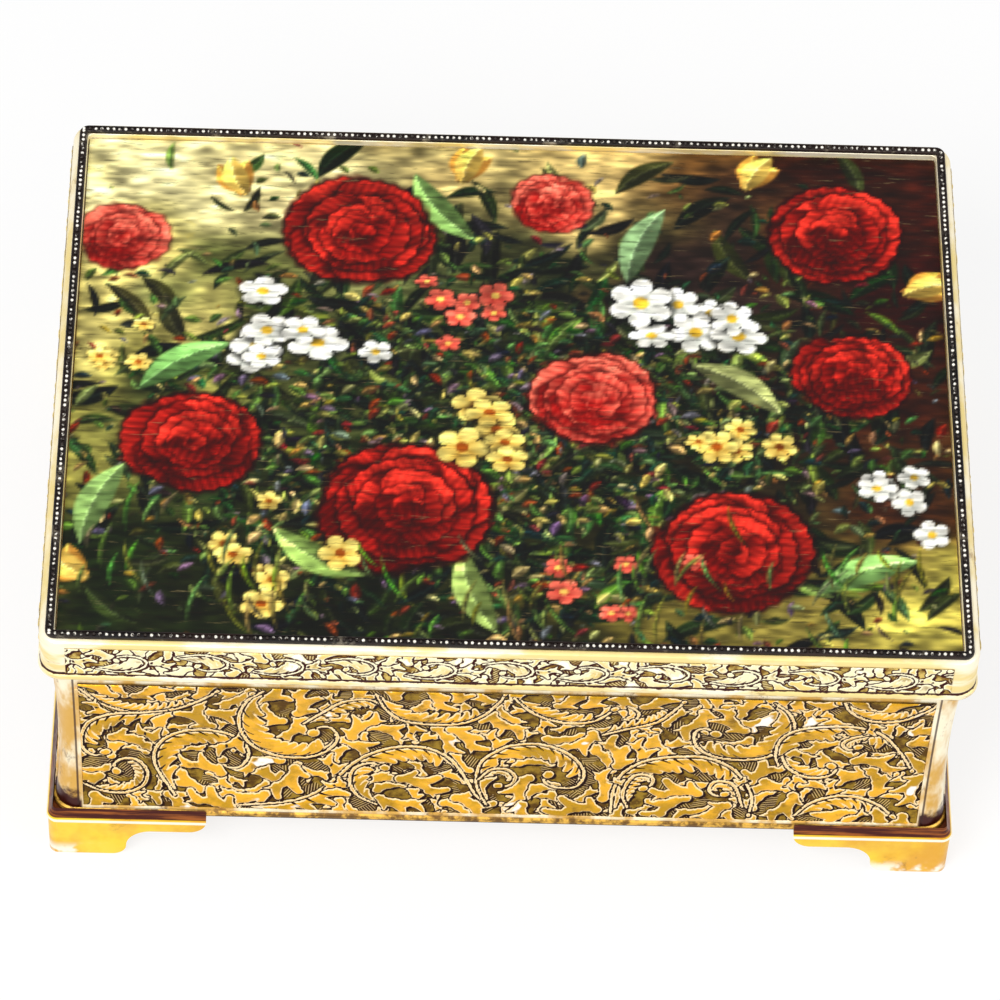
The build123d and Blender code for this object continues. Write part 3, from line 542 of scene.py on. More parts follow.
class Drawing:
    """Leaves laid over one another on a flat field, as distances in millimetres on a grid."""

    # How far beside a shape its distances are worked out
    beside = 4.0

    def __init__(self, half, height, step):
        self.u = np.arange(-half, half + step / 2, step)
        self.v = np.arange(0, height + step / 2, step)
        self.inside = np.full((len(self.v), len(self.u)), -99.0)
        self.cut = np.full(self.inside.shape, 99.0)

    def reach(self, strokes, margin):
        """The window round some strokes, and how far its points lie inside their union."""
        reach = margin + max(np.max(radii) for line, radii in strokes)
        low = np.min([line.min(0) for line, radii in strokes], axis=0) - reach
        high = np.max([line.max(0) for line, radii in strokes], axis=0) + reach
        iu = slice(*np.searchsorted(self.u, (low[0], high[0])))
        iv = slice(*np.searchsorted(self.v, (low[1], high[1])))
        u, v = np.meshgrid(self.u[iu], self.v[iv])
        best = np.full(u.shape, -99.0)
        for line, radii in strokes:
            for a, b, ra, rb in zip(line, line[1:], radii, radii[1:]):
                run = b - a
                t = np.clip(((u - a[0]) * run[0] + (v - a[1]) * run[1]) / max(run @ run, 1e-9), 0, 1)
                off = np.hypot(u - a[0] - t * run[0], v - a[1] - t * run[1])
                best = np.maximum(best, ra + t * (rb - ra) - off)
        return iv, iu, best

    def lay(self, strokes, cuts=()):
        """A shape over what is there, with a groove round it, and lines cut into it."""
        iv, iu, new = self.reach(strokes, self.beside)
        old = self.inside[iv, iu]
        beside = np.where(old > 0, np.minimum(old, -new - groove), np.maximum(old, new))
        self.inside[iv, iu] = np.where(new > 0, new, beside)
        self.cut[iv, iu] = np.where(new > -0.1, 99.0, self.cut[iv, iu])
        self.incise(cuts, iv, iu, new > 0.1)

    def tuck(self, strokes, cuts=()):
        """A shape under what is there."""
        iv, iu, new = self.reach(strokes, self.beside)
        old = self.inside[iv, iu]
        room = np.minimum(new, -old - groove)
        self.inside[iv, iu] = np.where(old > 0, old, np.maximum(old, room))
        self.incise(cuts, iv, iu, (old <= 0) & (room > 0.1))

    def incise(self, cuts, iv, iu, mine):
        """Lines cut into the part of a shape that shows, each thinner towards its end."""
        field = np.full(self.cut.shape, 99.0)
        for line in cuts:
            jv, ju, new = self.reach([(line, np.linspace(0.1, 0.0, len(line)))], 0.6)
            field[jv, ju] = np.minimum(field[jv, ju], -new)
        old = self.cut[iv, iu]
        self.cut[iv, iu] = np.where(mine, np.minimum(old, field[iv, iu]), old)

    def foliage(self, put, line, side, width, teeth, blunt=0.1):
        """A leaf along a curve: a tapering blade with teeth that curl forward from one edge.

        A narrow leaf has no lines cut into it.
        """
        count = len(line)
        t = np.linspace(0, 1, count)
        along = headings(line)
        inward = side * np.column_stack([-along[:, 1], along[:, 0]])
        band = 0.27 * width * np.sin(pi * (0.08 + 0.9 * t) ** 0.8)
        middle = line + inward * band[:, None]
        strokes = [(middle, band)]
        cuts = []
        for share in np.linspace(0.1, 0.78, teeth):
            k = int(share * (count - 1))
            size = 0.5 * width + 1.6 * band[k]
            grown, radii = tooth(middle[k], turned(along[k], side * 0.62), size, side * 0.55, blunt)
            strokes.append((grown, radii))
            root = line[min(k + 2, count - 1)]
            cuts.append(root + (grown[:6] - grown[0]) + inward[k] * 0.2 + along[k] * 0.25 * width)
        put(strokes, cuts[:-1] if width > narrow_leaf else ())

    def scroll(self, points, side, width, bulb, outer=(0.3,), rib=0.22):
        """A rib that ends in a bulb, with a leaf along the inside of its curve and leaves outside."""
        line = smooth_line(points)
        count = len(line)
        along = headings(line)
        for share in outer:
            k = int(share * (count - 1))
            leaf = arc_line(line[k], turned(along[k], -side * 0.2), 2.4 * width, -side * 1.5)
            self.foliage(self.lay, leaf, side, 1.05 * width, 3)
        inner = line[int(0.04 * count):int(0.9 * count)]
        teeth = max(3, int(0.3 * count / (1.25 * width)))
        self.foliage(self.lay, inner, side, 1.3 * width, teeth, 0.16)
        t = np.linspace(0, 1, count)
        self.lay([(line, rib * (0.75 + 0.5 * np.sin(pi * t)))])
        self.lay([(line[-2:], np.array([bulb, bulb]))])

    def fill(self, smallest, largest, seed):
        """Leaves tucked into the widest bare places, from the nearest shape outwards."""
        chance = np.random.default_rng(seed)
        bare = self.inside.copy()
        while bare.min() < -smallest:
            at = np.unravel_index(np.argmin(bare), bare.shape)
            room = min(-bare[at], largest)
            place = np.array((self.u[at[1]], self.v[at[0]]))
            near = self.inside[max(at[0] - 3, 0):at[0] + 4, max(at[1] - 3, 0):at[1] + 4]
            slope = np.array((near[:, -1].mean() - near[:, 0].mean(), near[-1].mean() - near[0].mean()))
            lead = turned(-slope / max(hypot(*slope), 0.01), chance.uniform(-0.6, 0.6))
            bend = chance.choice((-1, 1)) * chance.uniform(0.6, 1.5)
            line = arc_line(place - lead * room * 1.35, turned(lead, -bend / 2), 3.3 * room, bend)
            self.foliage(self.tuck, line, -np.sign(bend), 1.6 * room, 3, chance.choice((0.08, 0.2)))
            bare = np.maximum(bare, self.inside)
            u, v = np.meshgrid(self.u, self.v)
            bare[np.hypot(u - place[0], v - place[1]) < 0.7 * room] = 0

    def cast(self):
        """How far inside its leaf each point's up-left neighbour lies, for a painted shadow."""
        return np.roll(self.inside, (-2, 2), (0, 1))

    def heights(self, relief):
        """The relief's height, domed over each leaf, scooped in its middle and cut by its lines."""
        rise = 1 - np.exp(-np.maximum(self.inside, 0) / 0.28)
        scoop = 0.25 * np.clip((self.inside - 0.4) / 1.4, 0, 1)
        line = 0.35 * np.exp(-(self.cut / 0.12) ** 2) * (self.inside > 0.15)
        return relief * (rise - scoop - line)


# The stems of the long panels, after those on the photograph's front: points as (to the right of
# the middle, up) in millimetres, each stem with the side of its leaf, its leaf's width and its
# bulb's size. They are counted from stem_foot under the panel's lower edge
stem_foot = 0.6
stems = (
    (((-65.2, 31.6), (-62.6, 27.8), (-59.4, 25.5), (-55.7, 24.8), (-51.0, 25.9), (-46.9, 28.5),
      (-44.1, 31.7)), 1, 1.8, 0.3),
    (((-52.0, 25.5), (-56.1, 24.7), (-60.3, 24.2), (-63.8, 22.0), (-65.2, 18.2), (-65.0, 14.6),
      (-63.3, 13.0), (-61.5, 14.0)), 1, 2.4, 0.7),
    (((-65.4, 5.9), (-62.2, 4.1), (-58.9, 3.8), (-56.1, 5.5), (-55.2, 8.7), (-56.4, 11.7),
      (-58.5, 12.4), (-60.3, 11.0), (-60.0, 8.9)), 1, 1.6, 0.7),
    (((-51.0, 3.4), (-53.6, 9.6), (-54.1, 13.5), (-52.9, 17.1), (-50.1, 19.6), (-46.4, 20.4),
      (-42.7, 19.5), (-40.1, 16.9), (-39.5, 13.7), (-40.8, 10.9), (-42.9, 10.8),
      (-43.6, 12.8)), -1, 2.8, 0.8),
    (((-37.1, 32.0), (-39.4, 29.2), (-40.8, 25.2), (-40.8, 21.2), (-39.4, 17.3), (-36.7, 14.7),
      (-33.0, 13.6), (-29.2, 14.2), (-26.5, 16.7), (-25.8, 19.5), (-26.9, 21.8), (-28.8, 21.7),
      (-29.5, 20.1)), 1, 3.2, 0.9),
    (((-31.0, 22.7), (-28.3, 25.7), (-25.1, 29.0), (-21.4, 30.2), (-19.0, 28.2),
      (-16.7, 24.6)), -1, 1.8, 0.4),
    (((-20.0, 32.0), (-18.6, 27.7), (-16.3, 24.6), (-12.5, 23.4), (-7.4, 23.6), (-3.7, 25.9),
      (-1.4, 29.6), (-0.3, 32.8)), 1, 2.4, 0.3),
    (((-40.8, 1.4), (-34.3, 2.3), (-29.7, 4.3), (-26.0, 8.4), (-23.2, 12.5), (-20.0, 15.4),
      (-15.8, 17.1), (-11.6, 16.7), (-8.4, 14.3), (-6.1, 10.0), (-4.2, 5.4),
      (-2.3, 2.7)), -1, 3.0, 0.3),
    (((-19.5, 2.3), (-22.3, 4.2), (-23.7, 7.3), (-23.2, 10.9), (-20.6, 12.6),
      (-18.2, 11.4)), -1, 2.2, 0.7),
    (((-2.3, 2.7), (-4.0, 7.7), (-3.5, 13.3), (-0.9, 16.6), (1.3, 18.1), (5.3, 18.6), (9.4, 16.7),
      (12.0, 13.4), (12.6, 10.2), (11.3, 7.7), (8.4, 7.5), (6.5, 8.9), (7.2, 10.8)), -1, 2.8, 0.8),
    (((-3.7, 9.1), (-1.8, 11.6), (0.6, 11.7), (2.0, 9.8), (1.1, 7.7), (-0.8, 7.6)), -1, 1.2, 0.6),
    (((1.1, 31.7), (3.4, 28.0), (6.3, 25.7), (10.1, 24.5), (13.9, 25.6),
      (16.7, 29.0)), 1, 2.2, 0.5),
    (((18.6, 29.9), (20.3, 27.9), (19.5, 24.7), (17.2, 23.6)), -1, 1.4, 0.5),
    (((17.2, 1.5), (17.4, 6.8), (18.6, 11.3), (21.9, 14.7), (26.2, 16.0), (30.9, 16.1),
      (34.9, 14.0), (37.5, 10.5), (39.1, 6.1), (38.9, 1.6)), -1, 3.0, 0.3),
    (((19.8, 2.9), (18.9, 6.0), (19.6, 9.3), (21.0, 11.2), (23.2, 10.7), (23.3, 8.7),
      (21.9, 7.6)), -1, 1.4, 0.6),
    (((37.8, 3.6), (36.1, 9.0), (33.3, 9.9), (32.3, 7.8), (33.5, 6.3), (35.0, 6.8)), 1, 1.4, 0.6),
    (((15.1, 21.5), (18.1, 23.0), (22.9, 25.2), (25.2, 28.1), (27.1, 31.8)), 1, 1.6, 0.3),
    (((40.9, 32.0), (43.2, 28.9), (44.4, 24.9), (43.7, 20.4), (41.1, 16.8), (37.5, 15.7),
      (33.8, 16.0), (30.9, 17.5), (29.3, 20.2), (29.3, 23.0), (30.9, 23.9),
      (32.6, 22.4)), -1, 3.0, 0.8),
    (((42.7, 14.3), (42.0, 17.5), (42.7, 21.6), (45.1, 24.1), (48.9, 25.2), (53.6, 25.3),
      (57.9, 23.4), (61.2, 18.7), (63.6, 13.6)), -1, 2.8, 0.3),
    (((43.0, 16.8), (44.4, 13.6), (47.5, 11.5), (50.3, 11.8), (51.7, 13.5),
      (50.8, 14.7)), 1, 2.0, 0.7),
    (((56.5, 23.4), (53.6, 22.2), (52.2, 20.6), (53.2, 19.0), (54.8, 19.9)), 1, 1.2, 0.6),
    (((46.1, 1.9), (48.4, 5.0), (52.2, 6.9), (56.0, 6.6), (59.3, 4.7), (61.7, 2.0)), -1, 2.2, 0.4),
    (((51.5, 32.5), (52.9, 29.3), (56.0, 27.2), (60.3, 27.3), (64.1, 30.2),
      (66.2, 33.5)), 1, 2.0, 0.4),
)


def panel_drawing():
    """The scrolls of a long panel and the leaves between them."""
    drawing = Drawing(panel_half_x, panel_height, panel_step)
    for points, side, width, bulb in stems:
        drawing.scroll([(u, v - stem_foot) for u, v in points], side, width, bulb)
    drawing.fill(smallest=1.2, largest=2.3, seed=7)
    return drawing


def arc_offset(z):
    """How far the coved wall stands from its top edge's plane at a height."""
    rise = (body_top - wall_base) / 2
    t = (z - wall_base - rise) / rise
    straight = wall_flare * (1 - t) / 2
    sag = wall_waist + wall_flare / 2
    return straight - sag * (1 - t * t)


def engraved_panel(name, drawing, columns, place, body, finish, relief):
    """A closed plate whose front is the drawing's relief. place(u, v, out) gives a point."""
    backing = 0.00035
    u = drawing.u[columns] * mm
    v = drawing.v * mm
    middle = (u[0] + u[-1]) / 2
    height = drawing.heights(relief)[:, columns]
    rows, cols = height.shape
    edge = np.minimum.outer(np.minimum(np.arange(rows), np.arange(rows)[::-1]) > 0,
                            np.minimum(np.arange(cols), np.arange(cols)[::-1]) > 0)
    height = np.where(edge, height, 0)
    places = [place(u[c] - middle, v[r], height[r, c]) for r in range(rows) for c in range(cols)]
    faces = grid_faces(rows, cols)
    back = len(places)
    for r in range(rows):
        places.append(place(u[0] - middle, v[r], -backing))
        places.append(place(u[-1] - middle, v[r], -backing))
    for r in range(rows - 1):
        a, b = back + 2 * r, back + 2 * r + 2
        faces.append((a + 1, a, b, b + 1))
        faces.append((a, r * cols, (r + 1) * cols, b))
        faces.append((r * cols + cols - 1, a + 1, b + 1, (r + 1) * cols + cols - 1))
    faces.append([back, back + 1, *range(cols - 1, -1, -1)])
    last = back + 2 * (rows - 1)
    faces.append([last + 1, last, *range((rows - 1) * cols, rows * cols)])
    piece = made_piece(name, places, faces, body, finish, 180.0)
    data = piece.data
    spare = 2 * rows
    # The third attribute lays a painted shadow below and to the right of each leaf
    for label, values in (("inside", drawing.inside), ("cut", drawing.cut), ("cast", drawing.cast())):
        layer = data.attributes.new(label, "FLOAT", "POINT")
        grid = np.clip(values[:, columns], -9, 9).ravel()
        layer.data.foreach_set("value", np.concatenate([grid, np.full(spare, -9.0)]))
    flat = [(u[c] / mm, v[r] / mm) for r in range(rows) for c in range(cols)]
    flat = np.array(flat + [(0, 0)] * spare)
    corners = np.empty(len(data.loops), int)
    data.loops.foreach_get("vertex_index", corners)
    layer = data.uv_layers.new(name="drawing")
    layer.data.foreach_set("uv", flat[corners].ravel())
    return piece


def on_side(turn, u, distance, z):
    """A point u to the right of the middle of one of the four sides: turn 0 is the front."""
    c, s = round(cos(turn)), round(sin(turn))
    return (u * c + distance * s, u * s - distance * c, z)


def four_sides(name, drawing, end, half, surface, body, finish, relief):
    """Plates on all four sides: the whole drawing front and back, and its ends on the ends.

    surface(distance, v) gives a ground point's distance from the middle, and its height.
    """
    every = np.arange(len(drawing.u))
    for side, turn, columns, distance in (("front", 0, every, half.y), ("back", pi, every, half.y),
                                          ("right", pi / 2, every[-end:], half.x),
                                          ("left", -pi / 2, every[:end], half.x)):
        def place(u, v, out):
            ground, z = surface(distance, v)
            return on_side(turn, u, ground + out, z)
        engraved_panel(name + side, drawing, columns, place, body, finish, relief)


def coved_surface(distance, v):
    """The coved wall, and the solid's fillet at its top, which the plates step out to pass over."""
    step_below = 0.0009
    step_run = 0.0005
    step_out = 0.00016
    z = panel_base + v
    share = min(1.0, max(0.0, (z - fillet_z + step_below) / step_run))
    return distance + arc_offset(z) + ground_lift + step_out * share, z


def body_panels():
    end = int(2 * panel_half_y / panel_step)
    four_sides("panel_", panel_drawing(), end, body_half, coved_surface, "box", "panel",
               panel_relief)


# The lid's band

def spiral(place, start, end, angle, turn):
    """Points of a spiral that closes in on a place."""
    t = np.linspace(0, 1, 9)
    radius = start + (end - start) * t
    bearing = angle + turn * t
    return [(place[0] + r * cos(b), place[1] + r * sin(b)) for r, b in zip(radius, bearing)]


def band_drawing():
    """A running scroll, each of its spirals springing from the one before."""
    drawing = Drawing(band_half_x, band_height, band_step)
    chance = np.random.default_rng(3)
    pitch = 11.6
    for k in range(-6, 7):
        up = k % 2 * 2 - 1
        x = k * pitch + chance.uniform(-0.6, 0.6)
        y = band_height / 2 + up * 0.35
        sweep = spiral((x, y), 5.4, 0.9, -up * 2.4, up * 5.6)
        flattened = [(u, y + (v - y) * 0.56) for u, v in sweep]
        drawing.scroll(flattened, up, 1.9, 0.42, outer=(0.24, 0.5), rib=0.15)
    drawing.fill(smallest=0.75, largest=1.5, seed=5)
    return drawing


def band_surface(distance, v):
    return distance + ground_lift, band_base + v


def lid_bands():
    end = int(2 * band_half_y / band_step)
    four_sides("band_", band_drawing(), end, lid_half, band_surface, "lid", "band", band_relief)


# Rings of moulding

def rounded_ring(half_x, half_y, corner, out):
    """Points round a rectangle with rounded corners, moved outwards."""
    steps = 10
    points = []
    for index, (sx, sy) in enumerate(((1, 1), (-1, 1), (-1, -1), (1, -1))):
        for step in range(steps + 1):
            angle = (index + step / steps) * pi / 2
            points.append((sx * (half_x - corner) + (corner + out) * cos(angle),
                           sy * (half_y - corner) + (corner + out) * sin(angle)))
    return points


def moulding(name, section, half_x, half_y, corner, body, finish):
    """A closed section, as (out, height) pairs, carried round a rounded rectangle."""
    rings = [rounded_ring(half_x, half_y, corner, out) for out, z in section]
    count = len(rings[0])
    places = [(x, y, z) for ring, (out, z) in zip(rings, section) for x, y in ring]
    faces = []
    for k in range(len(section)):
        a, b = k * count, (k + 1) % len(section) * count
        for i in range(count):
            j = (i + 1) % count
            faces.append((a + i, a + j, b + j, b + i))
    return made_piece(name, places, faces, body, finish, 32.0)


def gallery():
    """The milled strip round the picture: a channel with a row of beads between two thin rims."""
    low = land_z
    top = gallery_top
    edge_inset = 0.001
    half_x = lid_half.x - edge_inset
    half_y = lid_half.y - edge_inset
    section = ((-0.0013, low), (0, low), (0, top - 0.00035), (-0.0001, top - 0.0002),
               (-0.0002, top - 0.0002), (-0.0003, top - 0.0005), (-0.0010, top - 0.0005),
               (-0.0011, top - 0.0002), (-0.0012, top - 0.0002), (-0.0013, top - 0.00035))
    strip = moulding("gallery_strip", section, half_x, half_y, 0.0015, "lid", "black")
    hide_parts("gallery_border")
    bead_radius = 0.00031
    bead_pitch = 0.00096
    bead_z = top - 0.00034
    bead_inset = 0.00065
    bpy.ops.mesh.primitive_ico_sphere_add(subdivisions=1, radius=bead_radius, location=(0, 0, 0))
    bead = bpy.context.object
    ball = np.array([v.co for v in bead.data.vertices])
    sides = np.array([p.vertices[:] for p in bead.data.polygons])
    bpy.data.objects.remove(bead)
    places = []
    for axis, half, far in ((0, half_x, half_y), (1, half_y, half_x)):
        run = 2 * (half - bead_inset)
        count = round(run / bead_pitch)
        for k in range(count):
            along = -run / 2 + run * (k + 0.5 * axis) / count
            for side in (-1, 1):
                point = [0.0, 0.0, bead_z]
                point[axis] = along
                point[1 - axis] = side * (far - bead_inset)
                places.append(point)
    places = np.array(places)
    verts = (places[:, None] + ball[None]).reshape(-1, 3)
    faces = (sides[None] + len(ball) * np.arange(len(places))[:, None, None]).reshape(-1, 3)
    made_piece("gallery_beads", verts.tolist(), faces.tolist(), "lid", "bead", 180.0)


# The silk picture, a design of its own in the colours of such pictures

def smooth_noise(shape, cell, chance):
    """Soft noise from 0 to 1, with features about a cell wide."""
    r = np.arange(shape[0]) / cell[0]
    c = np.arange(shape[1]) / cell[1]
    coarse = chance.random((int(r[-1]) + 3, int(c[-1]) + 3))
    r0, c0 = r.astype(int), c.astype(int)
    fr, fc = (r - r0)[:, None], (c - c0)[None]
    fr, fc = fr * fr * (3 - 2 * fr), fc * fc * (3 - 2 * fc)
    near = coarse[r0][:, c0] * (1 - fc) + coarse[r0][:, c0 + 1] * fc
    far = coarse[r0 + 1][:, c0] * (1 - fc) + coarse[r0 + 1][:, c0 + 1] * fc
    return near * (1 - fr) + far * fr


class Canvas:
    """A painted field, in millimetres, that later strokes cover."""

    def __init__(self, half_x, half_y, step):
        self.x = np.linspace(-half_x, half_x, round(2 * half_x / step) + 1)
        self.y = np.linspace(-half_y, half_y, round(2 * half_y / step) + 1)
        self.rgb = np.zeros((len(self.y), len(self.x), 3))
        self.chance = np.random.default_rng(12)

    def window(self, place, reach):
        ix = slice(*np.searchsorted(self.x, (place[0] - reach, place[0] + reach)))
        iy = slice(*np.searchsorted(self.y, (place[1] - reach, place[1] + reach)))
        x, y = np.meshgrid(self.x[ix] - place[0], self.y[iy] - place[1])
        return iy, ix, x, y

    def blend(self, iy, ix, cover, colour):
        under = self.rgb[iy, ix]
        self.rgb[iy, ix] = under + np.clip(cover, 0, 1)[..., None] * (colour - under)

    def vary(self, colour, amount):
        return np.clip(np.array(colour) + self.chance.uniform(-amount, amount, 3), 0, 1)

    def mottle(self, fine, share, coarse):
        """Light and dark marks of two sizes over the whole field, share of them fine."""
        shape = self.rgb.shape[:2]
        marks = share * smooth_noise(shape, fine, self.chance)
        marks = marks + (1 - share) * smooth_noise(shape, coarse, self.chance)
        self.rgb *= (0.62 + 0.76 * marks)[..., None]

    def ground(self, anchors):
        """Colours spread from anchor places, broken up by noise."""
        x, y = np.meshgrid(self.x, self.y)
        shape = x.shape
        x = x + 26 * (smooth_noise(shape, (22, 30), self.chance) - 0.5)
        y = y + 22 * (smooth_noise(shape, (22, 30), self.chance) - 0.5)
        total = np.zeros(shape)
        for px, py, colour in anchors:
            weight = 1 / (np.hypot(x - px, y - py) + 3) ** 3
            self.rgb += weight[..., None] * np.array(colour)
            total += weight
        self.rgb /= total[..., None]
        self.mottle((3, 7), 0.6, (9, 14))

    def leaf(self, place, lead, length, width, colour):
        """A pointed leaf, darker on one side of its rib."""
        iy, ix, x, y = self.window(place, length)
        along = (x * lead[0] + y * lead[1]) / length + 0.5
        across = -x * lead[1] + y * lead[0] + length * 0.35 * (along - 0.5) ** 2
        half = width / 2 * np.sin(pi * np.clip(along, 0, 1)) ** 0.8
        cover = (half - np.abs(across)) / 0.5 + 0.3
        shade = np.where(across > 0, 1.12, 0.72) * (0.8 + 0.4 * np.clip(along, 0, 1))
        colour = np.array(colour) * shade[..., None] + 0.06 * (np.abs(across) < 0.3)[..., None]
        self.blend(iy, ix, np.where((along > 0) & (along < 1), cover, 0), np.clip(colour, 0, 1))

    def peony(self, place, radius, bright, deep):
        """A full bloom of cupped petals laid one over another towards its heart."""
        iy, ix, x, y = self.window(place, radius * 1.3)
        self.blend(iy, ix, (radius - np.hypot(x, y)) / 1.5 * 0.8, np.array(deep) * 0.4)
        chance = self.chance
        bright, deep = np.array(bright), np.array(deep)
        for far, size, count in ((0.66, 0.7, 7), (0.5, 0.6, 6), (0.36, 0.48, 5), (0.2, 0.38, 4),
                                 (0.06, 0.24, 3)):
            start = chance.uniform(0, 2 * pi)
            for k in range(count):
                angle = start + 2 * pi * k / count + chance.uniform(-0.25, 0.25)
                lead = pointing(angle)
                middle = place + lead * radius * far * (1.0, 0.86) * chance.uniform(0.85, 1.1)
                iy, ix, x, y = self.window(middle, radius * 0.9)
                out = x * lead[0] + y * lead[1]
                side = -x * lead[1] + y * lead[0]
                reach = radius * size * chance.uniform(0.8, 1.05)
                off = np.hypot(out / 0.62, side + 0.1 * np.sin(out * 2.3)) + 0.25 * np.sin(side * 2.6)
                light = 0.35 + 0.75 * out / reach + 0.35 * lead[1] + chance.uniform(-0.35, 0.25)
                vein = 0.12 * np.sin(side * 5.0 + chance.uniform(0, 6))
                light = np.clip(np.clip(light, 0, 1) + vein, 0, 1)
                colour = deep + (bright - deep) * light[..., None]
                self.blend(iy, ix, (reach * 1.1 - off) / 0.8 * 0.5, deep * 0.5)
                self.blend(iy, ix, (reach * 0.95 - off) / 0.5, colour)

    def rub(self):
        """Brush marks and wear over the whole field, and deeper shadows."""
        self.mottle((1.4, 5), 0.55, (4, 9))
        self.rgb = np.clip(self.rgb, 0, 1)
        self.rgb = 0.35 * self.rgb + 0.65 * self.rgb ** 1.35 * 1.12

    def blossom(self, place, radius, petals, pale, shade, heart):
        """An open bloom of a few broad petals round a small heart."""
        iy, ix, x, y = self.window(place, radius * 1.2)
        turn = self.chance.uniform(0, 2 * pi)
        squash = self.chance.uniform(0.7, 1.0)
        y = y / squash
        r, a = np.hypot(x, y), np.arctan2(y, x)
        wave = np.abs(np.cos((a + turn) * petals / 2))
        edge = radius * (0.5 + 0.5 * wave ** 0.45)
        light = np.clip(0.25 + 0.6 * r / radius + 0.3 * wave + 0.15 * np.sin(a), 0, 1)
        pale, shade = np.array(pale), np.array(shade)
        colour = shade + (pale - shade) * light[..., None]
        self.blend(iy, ix, (radius * 1.15 - r) / 1.2 * 0.6, shade * 0.15)
        self.blend(iy, ix, (edge - r) / 0.4 + 0.5, colour)
        self.blend(iy, ix, (radius * 0.24 - r) / 0.35 + 0.5, np.array(heart))

    def tulip(self, place, radius, lead, bright, deep):
        """A closed cup: a bright petal over a deeper one on either side."""
        half_deep = (np.array(bright) + np.array(deep)) / 2
        for turn, share, colour in ((-0.45, 0.9, half_deep), (0.45, 0.9, half_deep), (0.0, 1.0, bright)):
            aim = turned(lead, turn)
            middle = place + aim * radius * 0.45 * share
            self.leaf(middle, aim, radius * 1.9 * share, radius * 0.95, colour)


